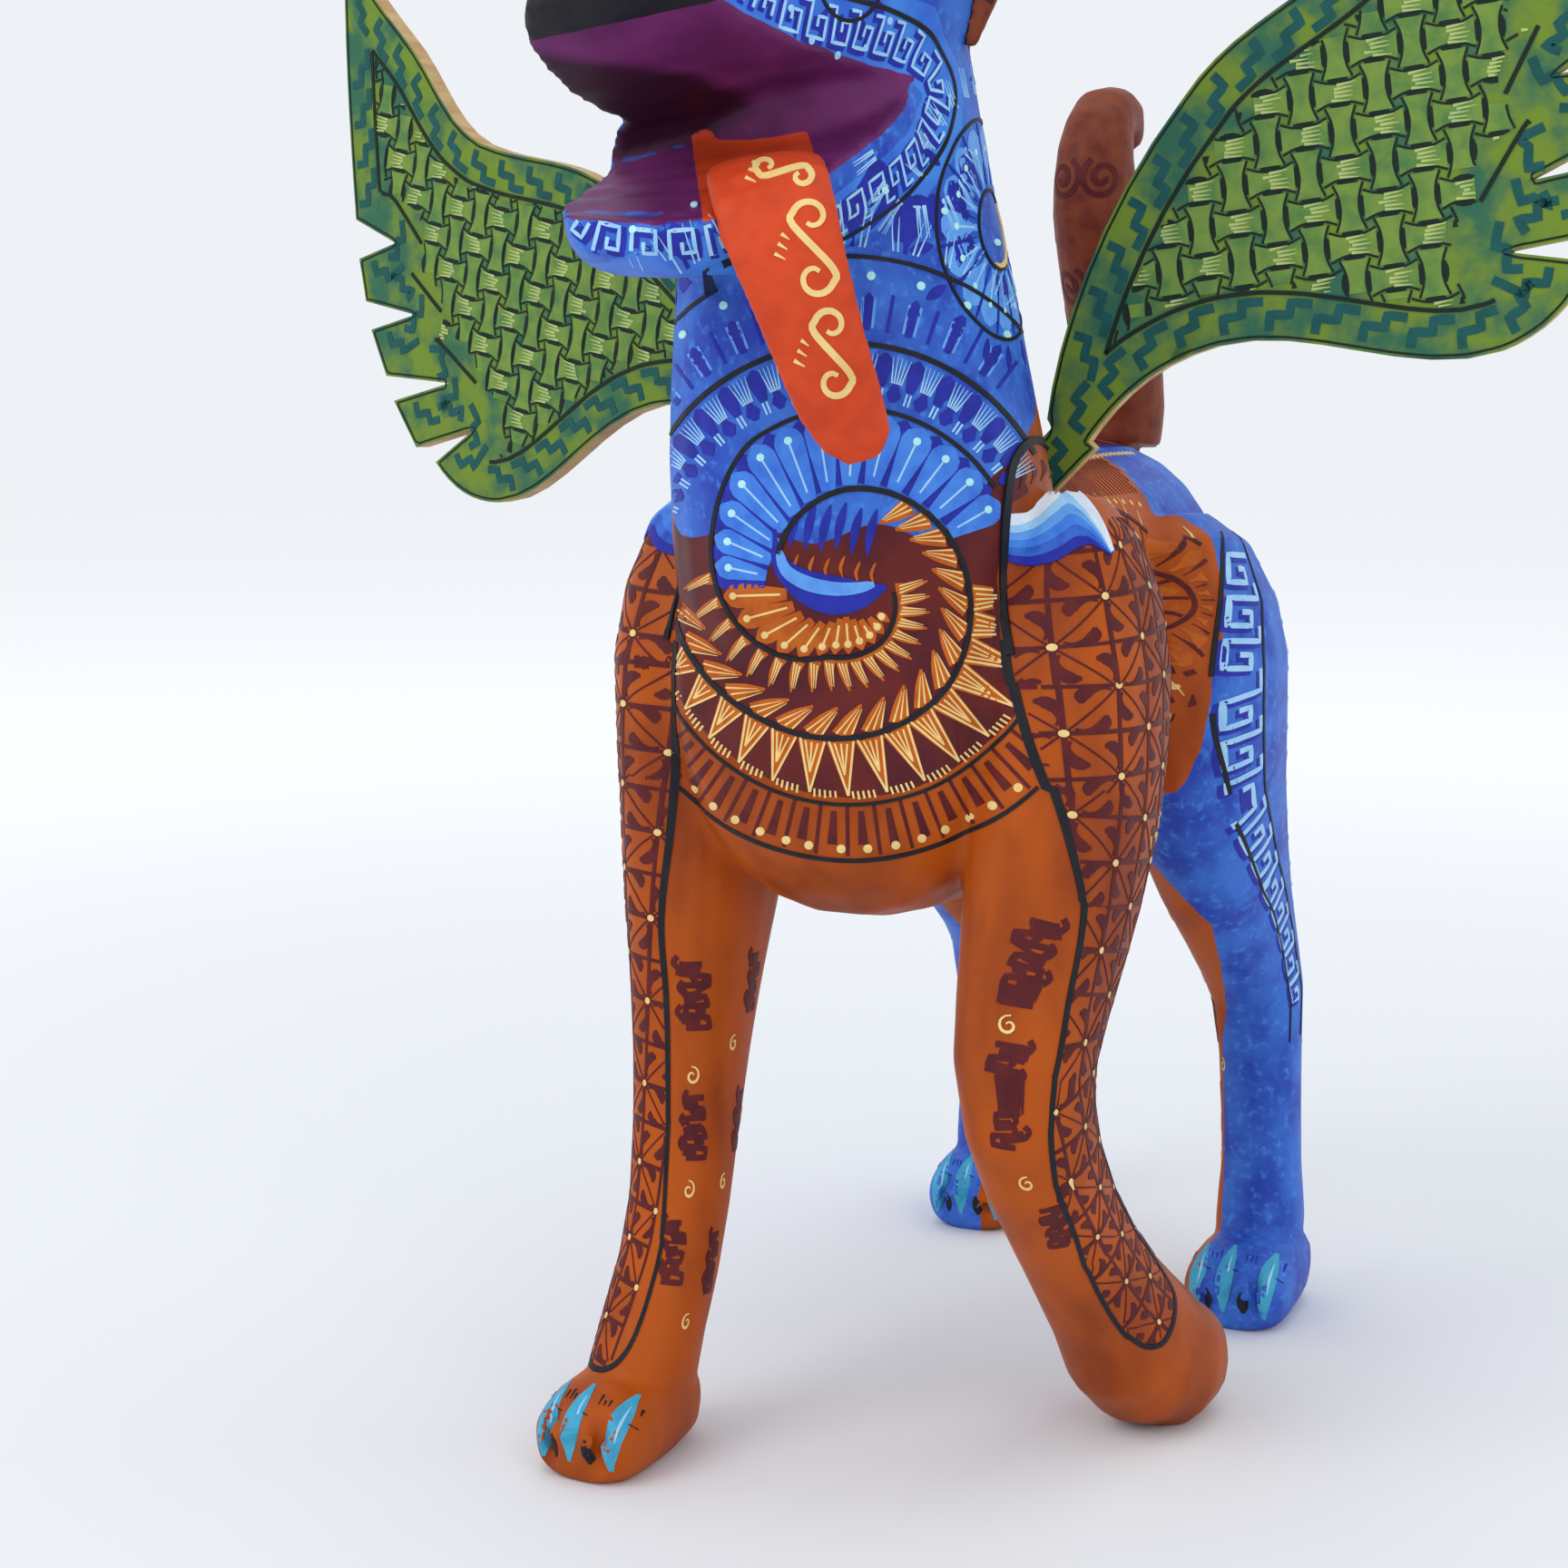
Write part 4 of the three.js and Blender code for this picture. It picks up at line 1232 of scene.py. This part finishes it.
def head_side(side):
    """One cheek, lip and jaw."""
    yaw = math.degrees(HEAD_YAW)
    cheek = HeadSide(side)
    pale, deep, black = ink("pale_blue", area="head"), ink(
        "deep_blue", area="head"
    ), ink("black", area="head")
    band = [
        (72, 350), (60, 342.5), (44, 339.3), (28, 338.3), (12, 336.5), (3, 330.5), (5, 321.5), (15, 312),
        (28, 304), (40, 297), (50, 293)
    ]
    fret(deep, cheek, [(u + 0.7, v - 0.7) for u, v in band], 3.5, 7.2, HOOK, 1.5, 2, join=True)
    fret(pale, cheek, band, 3.5, 7.2, HOOK, 0.75, 3, join=True)
    black.stroke(
        cheek,
        [
            (74, 360), (56, 349), (40, 345), (22, 343), (5, 339), (-3.5, 330.5), (-1, 321), (10, 309),
            (26, 298.5), (38, 292.5), (54, 286)
        ],
        1.0, 4
    )
    # Fans of petals behind and under the jaw.
    for k in range(7):
        a = math.radians(-150 + 22 * k)
        start = (12 + 17 * math.cos(a), 322 + 17 * math.sin(a))
        tip = (12 + 27 * math.cos(a), 322 + 27 * math.sin(a))
        deep.stroke(cheek, [tip, start], 6.0, 2, lobe, columns=4)
        for off in (-0.22, -0.14, 0.14, 0.22):
            b = a + off
            pale.stroke(
                cheek,
                [
                    (12 + 19 * math.cos(b), 322 + 19 * math.sin(b)),
                    (12 + 26 * math.cos(b), 322 + 26 * math.sin(b))
                ],
                0.5, 3, taper
            )
    canvas = Flat(SKIN_TREE, out_of_head((0, 40, 322)), side * 62 + yaw, 0, reach=90)
    canvas.flip = side
    sky = pale
    # Cheek spiral.
    centre = (17, 27)
    path = [
        (
            centre[0] + (2 + 0.026 * a) * math.cos(math.radians(a)),
            centre[1] + (2 + 0.026 * a) * math.sin(math.radians(a))
        )
        for a in range(0, 500, 24)
    ]
    black.stroke(canvas, path, 0.8, 4)
    for k in range(12):
        a = math.radians(k * 30)
        deep.stroke(
            canvas,
            [
                (centre[0] + 8 * math.cos(a), centre[1] + 8 * math.sin(a)),
                (centre[0] + 13.5 * math.cos(a), centre[1] + 13.5 * math.sin(a))
            ],
            3.0, 2, leaf, columns=4
        )
        sky.dot(canvas, centre[0] + 16 * math.cos(a), centre[1] + 16 * math.sin(a), 0.8, 3)
    # Eye.
    eye = Flat(SKIN_TREE, out_of_head((side * 24, 42, 371)), side * 48 + yaw, 12, reach=60)
    eye.flip = side
    ink("black", area="head").stroke(eye, [(-9, -1), (0, 0), (9, 1.5)], 11.5, 2, lens, columns=8, step=1.0)
    ink("white", area="head").stroke(
        eye, [(-7.4, -0.8), (0, 0), (7.4, 1.2)], 8.6, 3, lens, columns=7, step=1.0
    )
    ink("orange", area="head").dot(eye, -0.6, 0.2, 3.7, 4)
    ink("black", area="head").dot(eye, -0.6, 0.2, 2.2, 7)
    # A small white dot on the pupil: a painted highlight.
    ink("white", area="head").dot(eye, 0.5, 1.5, 0.6, 10)
    for k in range(7):
        u = -9 + 3 * k
        ink("pale_blue", area="head").stroke(
            eye, [(u, 8.4 - 0.12 * (u * u) ** 0.9), (u * 1.2, 12.2 - 0.12 * (u * u) ** 0.9)], 0.9, 3, lens
        )
    # Nostril.
    nose = Flat(SKIN_TREE, out_of_head((side * 8, 84, 354)), side * 24 + yaw, 4, reach=40)
    nose.flip = side
    ink("purple", area="head").stroke(
        nose, [(-2.4, 1.8), (0, 0.6), (2.6, 1.6)], 3.2, 2, lens, columns=4, step=0.8
    )


def jaw_front():
    """The fret goes round the tip of the lower jaw."""
    canvas = Flat(SKIN_TREE, out_of_head((8, 74, 294)), 25, -6, reach=40)
    canvas.steep = 0.86
    canvas.graze = 0.3
    path = [(-18, 4), (-12, 0), (-3, -1.4), (6, -1.6), (14, -0.6), (22, 1.6)]
    fret(
        ink("deep_blue", area="head"), canvas, [(u + 0.7, v - 0.7) for u, v in path], 3.7, 8.0, HOOK, 1.7,
        2, join=True
    )
    fret(ink("pale_blue", area="head"), canvas, path, 3.7, 8.0, HOOK, 0.85, 3, join=True)
    ink("black", area="head").stroke(canvas, [(-17, -3), (-8, -6.4), (6, -6.8), (20, -5)], 0.9, 4)


def crown():
    """Rings of petals over the top and the back of the skull."""
    canvas = Flat(SKIN_TREE, out_of_head((0, 4, 400)), math.degrees(HEAD_YAW), 89.5, reach=60)
    rosette(canvas, 17, 12)
    for k in range(24):
        ink("deep_blue").stroke(canvas, [polar(18.5, 15 * k), polar(25, 15 * k)], 2.0, 2, lens)
        ink("aqua").dot(canvas, *polar(26.5, 15 * k + 7.5), 0.7, 4)
    back = Flat(SKIN_TREE, (4, 60, 335), 180, 0, reach=80)
    for row in range(6):
        for k in range(-4, 5):
            u, v = k * 6.4 + 3.2 * (row % 2), 40 - row * 11.0
            ink("deep_blue").stroke(back, [(u, v + 4), (u, v - 4.4)], 4.4, 2, leaf, columns=4)
            ink("pale_blue").stroke(back, [(u - 2.6, v + 3), (u - 2.8, v - 2)], 0.45, 3, taper)
            ink("aqua").dot(back, u + 3.2, v - 5, 0.7, 4)


# ---- Tongue, tail and ears --------------------------------------------------------------------------


def scroll(canvas, u, v, size, lean, colour, body, area, width=0.9):
    """An S with a curl at each end, and dashes beside it."""
    path = []
    for end in (1, -1):
        half = []
        for k in range(9):
            t = k / 8
            angle = math.radians(200 - 330 * t) if end > 0 else math.radians(20 - 330 * t)
            r = size * 0.30 * (1 - 0.62 * t)
            half.append(
                (end * 0.02 * size + r * math.cos(angle) * 1.0, end * size * 0.46 + r * math.sin(angle))
            )
        path.append(half)
    line = list(reversed(path[0])) + path[1]
    c, s = math.cos(lean), math.sin(lean)
    turned = [(u + x * c - y * s, v + x * s + y * c) for x, y in line]
    ink(colour, body, area).stroke(
        canvas, turned, width, 3, lambda t: 0.6 + 0.4 * math.sin(math.pi * t), step=0.7
    )


def tongue():
    canvas = Flat(TONGUE_TREE, (24, -38, 285), 27, 5, reach=60)
    for u, v, size, lean in ((-3.6, 23.5, 8.5, 1.25), (2.4, 7.0, 13.5, 0.12), (6.4, -14, 12, 0.12)):
        scroll(canvas, u, v, size, lean, "cream", "figure", "tongue", 1.5)
        for k in range(3):
            ink("cream", area="tongue").stroke(
                canvas, [(u - 6.4 - 0.7 * k, v + 2.6 - 2.0 * k), (u - 4.8 - 0.4 * k, v + 1.4 - 2.0 * k)],
                0.8, 3, taper, step=0.6
            )
    floor = Flat(SKIN_TREE, (4, -27, 318), 20, 60, reach=12)
    for u, v in ((-6, 1), (6, 4)):
        ink("cream", area="tongue").stroke(
            floor, [(u - 1.4, v), (u, v + 0.5), (u + 1.2, v)], 1.1, 3, lens, step=0.6
        )


def tail():
    stations = [(0, 219, 256), (0, 213, 273), (0, 203, 293), (0, 194.5, 313), (0, 193.5, 328)]
    for side in (1, -1):
        canvas = Round(TAIL_TREE, list(reversed(stations)), 12, side, reach=30)
        for k in range(5):
            u, v = 6 + 12 * (k % 2), 6 + 14 * k
            path = []
            for a in range(0, 620, 30):
                r = 0.8 + 0.0085 * a
                path.append((u + r * math.cos(math.radians(a)), v + r * math.sin(math.radians(a))))
            ink("maroon", "tail", "tail").stroke(canvas, path, 1.6, 2, step=1.1)
        for k in range(16):
            ink("cream", "tail", "tail").stroke(
                canvas, [(30, 4 + 4.4 * k), (33, 5.2 + 4.4 * k)], 0.7, 3, taper
            )


def ears():
    for which, side in (("left", 1), ("right", -1)):
        yaw = math.degrees(HEAD_YAW)
        body = f"{which}_ear"
        for turn, inner in ((31, True), (211, False)):
            canvas = Flat(
                EAR_TREES[which], out_of_head((side * 37, -10, 392)), side * turn + yaw, 0, reach=40
            )
            canvas.flip = side
            outline = [
                (-3, -44), (-12, -24), (-14, -4), (-9, 18), (0, 38), (8, 20), (11, -2), (8, -24), (-1, -44)
            ]
            ink("maroon", body, body).stroke(canvas, outline, 1.4, 2)
            for k in range(11):
                v = -34 + 6 * k
                half = 9.5 - 0.0065 * (v + 6) ** 2
                colour = "purple" if inner else "cream"
                for sign in (-1, 1):
                    ink(colour, body, body).stroke(
                        canvas, [(sign * 1.5 - 1, v), (sign * half - 1, v + 5)], 1.1, 2, taper
                    )
            ink("cream", body, body).stroke(canvas, [(-1.5, -38), (-1.5, 0), (-0.5, 30)], 0.7, 3)


# ---- Back, flanks and hind legs -------------------------------------------------------------------------


def flank(side):
    canvas = Flat(SKIN_TREE, (side * 50, 118, 212), side * 90, 8, reach=70)
    canvas.flip = side
    canvas.mask = lambda u, v: u < 7 + 0.4 * max(0, v + 24)
    cream, maroon = ink("cream"), ink("maroon")
    # Rows of dashes and dots that follow the body behind the shoulder.
    for row, u in enumerate((-44, -40.5, -37)):
        for k in range(22):
            v = 34 - 4.2 * k
            bow = 0.012 * (v + 5) ** 2
            if row == 1:
                cream.dot(canvas, u + 10 - bow, v, 0.75, 3)
            else:
                cream.stroke(canvas, [(u + 10 - bow, v), (u + 11.2 - bow, v - 3)], 0.6, 3, taper)
    # Petals in two rings round a small comma.
    for k in range(22):
        a = k * 360 / 22
        maroon.stroke(canvas, [polar(12, a), polar(21.5, a + 3)], 1.0, 2, leaf)
        ink("orange").stroke(canvas, [polar(11.5, a + 8), polar(20.5, a + 9)], 3.6, 2, leaf, columns=4)
        cream.stroke(canvas, [polar(23, a), polar(27.5, a + 2)], 0.5, 3, taper)
    for k in range(12):
        ink("orange").stroke(canvas, [polar(3.6, 30 * k), polar(9.2, 30 * k)], 3.0, 2, leaf, columns=4)
        maroon.stroke(canvas, [polar(3.8, 30 * k + 15), polar(9.6, 30 * k + 15)], 0.7, 3)
    maroon.stroke(canvas, arc(10.4, 0, 360, 20), 1.0, 4)
    maroon.stroke(canvas, arc(22.3, 0, 360, 12), 1.3, 4)
    ink("deep_blue").stroke(canvas, [(-1.0, 3.6), (-1.5, 0), (0, -3), (2, -4)], 3.4, 5, leaf, columns=4)
    ink("pale_blue").stroke(canvas, [(-0.6, 1.8), (0, -1), (1.6, -3)], 1.5, 6, leaf)
    # Fine feathers along the back.
    for k in range(40):
        u = -42 + 2.35 * k
        maroon.stroke(canvas, [(u, 36), (u + 3.5, 31), (u + 4.5, 26)], 0.55, 2, taper)
        if k % 2:
            cream.dot(canvas, u, 24.6 - 0.004 * u * u, 0.7, 3)
    # Dashes round the belly.
    for k in range(30):
        u = -40 + 2.7 * k
        maroon.stroke(canvas, [(u, -27), (u + 1.2, -36)], 1.3, 2, lens)
        if k % 2 == 0:
            cream.dot(canvas, u + 0.6, -24.5, 0.7, 3)


def back():
    canvas = Flat(SKIN_TREE, (0, 130, 256), 0, 89.5, reach=60)
    cream, maroon = ink("cream"), ink("maroon")
    for side in (1, -1):
        for k in range(30):
            y = -45 + 3.1 * k
            maroon.stroke(canvas, [(side * 3, y), (side * 9, y + 3), (side * 15, y + 8)], 0.7, 2, taper)
            if y > -40:
                cream.dot(canvas, side * 19, y, 0.85, 3)
    for k in range(26):
        ink("maroon").stroke(canvas, [(0, -44 + 3.6 * k), (0, -41.6 + 3.6 * k)], 1.8, 2, lens)


HIND_STATIONS = {
    "left": [
        (46, 164, 225), (45, 160, 188), (46, 164, 160), (47.5, 176, 134), (49, 192, 110), (50.5, 201, 92),
        (51.5, 203, 66), (52, 204, 42), (52, 204, 20)
    ],
    "right": [
        (-46, 172, 225), (-45, 174, 188), (-46, 184, 160), (-47, 203, 136), (-48, 226, 112), (-49, 240, 94),
        (-50, 247, 68), (-51, 251, 42), (-51, 252, 20)
    ],
}


def hind_leg(which, side):
    canvas = Round(SKIN_TREE, HIND_STATIONS[which], 20, side)
    path = [(16, 6), (15, 37), (15, 60), (18.5, 80), (25, 108), (27, 131), (27, 152)]
    fret(
        ink("deep_blue", area="hind"), canvas, [(u - 0.8, v + 0.8) for u, v in path], 5.2, 11.0, HOOK, 2.2,
        2, join=True
    )
    fret(ink("pale_blue", area="hind"), canvas, path, 5.2, 11.0, HOOK, 1.5, 3, join=True)
    ink("black", area="hind").stroke(
        canvas, [(9.5, 0), (8, 37), (9.5, 57), (15, 88), (20, 108), (21.5, 131), (21.5, 156)], 0.9, 4
    )
    ink("black", area="hind").stroke(
        canvas, [(24, 0), (22, 37), (22, 60), (26, 84), (32, 108), (34, 131), (33, 156)], 0.9, 4
    )
    for k in range(24):
        v = 8 + 8 * k
        ink("aqua", area="hind").dot(canvas, 46 + 3 * math.sin(k * 0.9), v, 0.75, 3)
        ink("deep_blue", area="hind").stroke(canvas, [(52, v), (56, v + 4)], 1.6, 2, lens)
    for k, (u, v) in enumerate([(-22, 90), (-26, 120), (-22, 150), (-26, 178), (-46, 110), (-48, 150)]):
        cloud(canvas, u, v, 7.5, 53 * k + side)
        curl(canvas, u + 7, v + 13, 2.2, 1)


# ---- Wings ------------------------------------------------------------------------------------------


def outline_of(name):
    """The blade's outline in its own flat coordinates, read from the CAD board."""
    side, sweep, lift = WINGS[name]
    out, _ = wing_axis(side, sweep)
    normal = out.cross(Z)
    root = Vector((side * WING_ROOT.x, WING_ROOT.y, WING_ROOT.z))
    board = node_copy(name)
    face = [f for f in board.faces if f.normal.dot(normal) > 0.99]
    inside = set(face)
    links = {}
    for f in face:
        for e in f.edges:
            if sum(g in inside for g in e.link_faces) == 1:
                a, b = e.verts
                links.setdefault(a, []).append(b)
                links.setdefault(b, []).append(a)
    start = next(iter(links))
    chain, before, here = [start], None, start
    while True:
        following = [v for v in links[here] if v is not before]
        if not following or following[0] is start:
            break
        before, here = here, following[0]
        chain.append(here)
        if len(chain) > len(links):
            break
    c, s = math.cos(-lift), math.sin(-lift)
    points = []
    for v in chain:
        p = v.co / MM - SHIFT - root
        x, y = p.dot(out), p.z
        points.append((x * c - y * s, x * s + y * c))
    return np.array(points), out, normal, root, lift


def edge_distance(x, y, outline):
    a, b = outline, np.roll(outline, -1, 0)
    d = b - a
    t = np.clip(((x - a[:, 0]) * d[:, 0] + (y - a[:, 1]) * d[:, 1]) / (d**2).sum(1), 0, 1)
    gap = np.hypot(x - a[:, 0] - t * d[:, 0], y - a[:, 1] - t * d[:, 1]).min()
    crossing = ((a[:, 1] > y) != (b[:, 1] > y)) & (
        x < d[:, 0] * (y - a[:, 1]) / np.where(d[:, 1] == 0, 1e-9, d[:, 1]) + a[:, 0]
    )
    return gap if crossing.sum() % 2 else -gap


class Board(Canvas):
    """A canvas on one face of a wing, in the blade's own coordinates."""

    def __init__(self, tree, root, out, view, lift):
        c, s = math.cos(lift), math.sin(lift)
        self.tree, self.root, self.view = tree, root, view
        self.right, self.up = out * c + Z * s, Z * c - out * s

    def cast(self, u, v):
        return self.root + self.right * u + self.up * v - self.view * 30, self.view


def offset_runs(outline, distance):
    """The outline moved inwards, in runs where it doesn't cross itself."""
    closed = np.vstack([outline, outline[:1]])
    dense = []
    for a, b in zip(closed, closed[1:]):
        count = max(1, math.ceil(np.hypot(*(b - a)) / 1.5))
        dense.extend(a + (b - a) * k / count for k in range(count))
    dense = np.array(dense)
    area = np.sum(dense[:, 0] * np.roll(dense[:, 1], -1) - np.roll(dense[:, 0], -1) * dense[:, 1])
    ahead, behind = np.roll(dense, -1, 0), np.roll(dense, 1, 0)
    along = ahead - behind
    along /= np.maximum(np.hypot(along[:, 0], along[:, 1]), 1e-9)[:, None]
    inward = np.stack([-along[:, 1], along[:, 0]], 1) * (1 if area > 0 else -1)
    moved = dense + inward * distance
    runs, run = [], []
    for p in moved:
        if edge_distance(p[0], p[1], outline) > distance - 0.35:
            run.append((p[0], p[1]))
        elif run:
            runs.append(run)
            run = []
    if run:
        runs.append(run)
    return [r for r in runs if len(r) > 2]


def spool(canvas, body, u, v, turn, size, hatched):
    """One strand of the basket weave where it shows: broad at its ends and narrow in the middle."""
    c, s = math.cos(turn), math.sin(turn)

    def put(x, y):
        return u + x * c - y * s, v + x * s + y * c

    half = size * 0.62
    ink("moss", body, body).stroke(
        canvas, [put(-half, 0), put(half, 0)], size * 0.80, 2, lambda t: 0.60 + 0.40 * (2 * t - 1) ** 2,
        smooth=False, columns=2
    )
    for sign in (-1, 1):
        edge = [put(x * half, sign * size * (0.24 + 0.16 * x * x)) for x in (-1, -0.5, 0, 0.5, 1)]
        ink("dark_green", body, body).stroke(canvas, edge, 0.55, 3)
        ink("dark_green", body, body).stroke(
            canvas, [put(-half * 0.45, sign * size * 0.33), put(half * 0.45, sign * size * 0.33)], 1.5, 1,
            lens
        )
    if hatched:
        for k in range(5):
            y = (k - 2) * size * 0.095
            start = -0.1 + rng.uniform(-0.15, 0.1)
            ink("pale_green", body, body).stroke(
                canvas, [put(start * size, y), put((start + 0.5) * size, y * 1.25)], 0.72, 4, taper
            )


def wing(name):
    outline, out, normal, root, lift = outline_of(name)
    for view in (normal, -normal):
        canvas = Board(WING_TREES[name], root, out, view, lift)
        weave = Board(WING_TREES[name], root, out, view, lift)
        weave.mask = lambda u, v: edge_distance(u, v, outline) > 11.4
        for run in offset_runs(outline, 11.0):
            ink("dark_green", name, name).stroke(canvas, run[::3] + run[-1:], 1.0, 5)
        for run in offset_runs(outline, 0.9):
            ink("dark_green", name, name).stroke(canvas, run[::2] + run[-1:], 0.5, 2)
        for run in offset_runs(outline, 5.6):
            if len(run) > 14:
                fret(ink("teal", name, name), canvas, run[::3], 3.7, 11.0, STEP_KEY, 2.1, 2)
        cell, turn = 8.6, math.radians(12) - lift * 1.2
        c, s = math.cos(turn), math.sin(turn)
        for i in range(-6, 36):
            for j in range(-26, 28):
                x, y = i * cell, j * cell
                u, v = x * c - y * s, x * s + y * c
                if edge_distance(u, v, outline) < 8:
                    continue
                level = (i + j) % 2 == 0
                spool(weave, name, u, v, turn + (0 if level else math.pi / 2), cell, level)


# ---- Paint everything ---------------------------------------------------------------------------------

WAVE_TOP = (43.4, 58, 240)
CHEST_CANVAS = Flat(SKIN_TREE, CHEST, 26, 4.5)
CHEST_CANVAS.mask = lambda u, v: v > 20 or -40.5 < u < chest_end(v)
chest(CHEST_CANVAS)
fan(CHEST_CANVAS)
for which, side in (("left", 1), ("right", -1)):
    front_leg(which, side)
    hind_leg(which, side)
    head_side(side)
    flank(side)
    rosette_at = Flat(SKIN_TREE, (side * 35, 37, 299), side * 68, 0, reach=40)
    rosette_at.flip = side
    neck_side(rosette_at)
    shoulder_at = Flat(SKIN_TREE, (side * WAVE_TOP[0], *WAVE_TOP[1:]), side * 27, 8.5, reach=40)
    shoulder_at.graze = 0.04
    shoulder_at.flip = side
    shoulder(shoulder_at)
jaw_front()
toes((-54, 4, 12), -2, 13.5, False)
toes((53, 180, 12), 0, 14, True)
toes((-49.5, 231, 12), 2, 13.5, True)
tongue()
tail()
ears()
crown()
back()
for name in WINGS:
    wing(name)
SLOTS = {
    "left_wing": "green_paint", "right_wing": "green_paint", "tail": "rust_paint", "left_ear": "rust_paint",
    "right_ear": "rust_paint"
}
for (colour, body, area), made in COATS.items():
    by_area = {"tongue": "red_paint", "head": "blue_paint", "hind": "blue_paint"}
    made.finish(SLOTS.get(body) or by_area.get(area, "brown_paint"))


# ---- Studio -------------------------------------------------------------------------------------------


def pale_floor():
    """A wide flat floor, so that the figure can be seen from every side. Its paper is painted darker towards
    the middle, a painted shade round the figure.
    """
    made = bmesh.new()
    bmesh.ops.create_grid(made, x_segments=1, y_segments=1, size=6.0)
    mesh = bpy.data.meshes.new("studio_floor")
    made.to_mesh(mesh)
    floor = bpy.data.objects.new("studio_floor", mesh)
    bpy.context.scene.collection.objects.link(floor)
    paper = Nodes("paper", 0.9)
    away = paper.add("ShaderNodeVectorMath", operation="LENGTH")
    paper.link(paper.where, away.inputs[0])
    # Painted shade: darker grey near the middle of the floor, under and round the figure, and white far away.
    far = paper.spread(away.outputs["Value"], 0.3, 1.5)
    painted_floor_shade = paper.mix(far, (0.77, 0.78, 0.80), (0.99, 0.99, 0.99))
    paper.link(painted_floor_shade, paper.shader.inputs["Base Color"])
    floor.data.materials.append(paper.material)


def lamp(name, place, target, size, power, tint=(1, 1, 1)):
    data = bpy.data.lights.new(name, "AREA")
    data.shape, data.size, data.energy, data.color = "SQUARE", size, power, tint
    made = bpy.data.objects.new(name, data)
    bpy.context.scene.collection.objects.link(made)
    made.location = place
    made.rotation_euler = (Vector(target) - Vector(place)).to_track_quat("-Z", "Y").to_euler()


def studio():
    pale_floor()
    lamp("key", (-0.9, -1.6, 1.5), (0, 0, 0.2), 1.2, 13)
    lamp("fill", (1.6, -1.3, 1.0), (0, 0, 0.2), 1.4, 6)
    lamp("top", (0.1, 0.1, 2.0), (0, 0, 0), 1.6, 6)
    bpy.context.scene.view_settings.view_transform = "Standard"
    world = bpy.data.worlds.new("studio_air")
    world.use_nodes = True
    air = world.node_tree.nodes["Background"]
    air.inputs["Color"].default_value = (0.92, 0.955, 1.0, 1)
    air.inputs["Strength"].default_value = 0.93
    bpy.context.scene.world = world


CAMERA_AT = (283, -554, 268)  # design coordinates
CAMERA_AZIMUTH, CAMERA_PITCH = math.radians(27), math.radians(8.5)
CAMERA_LENS, SENSOR_WIDTH = 63.8, 36


def camera():
    data = bpy.data.cameras.new("camera")
    data.lens, data.sensor_width = CAMERA_LENS, SENSOR_WIDTH
    made = bpy.data.objects.new("camera", data)
    bpy.context.scene.collection.objects.link(made)
    made.location = at(CAMERA_AT)
    made.rotation_euler = (math.pi / 2 - CAMERA_PITCH, 0, CAMERA_AZIMUTH)
    bpy.context.scene.camera = made


studio()
camera()

bpy.context.view_layer.update()
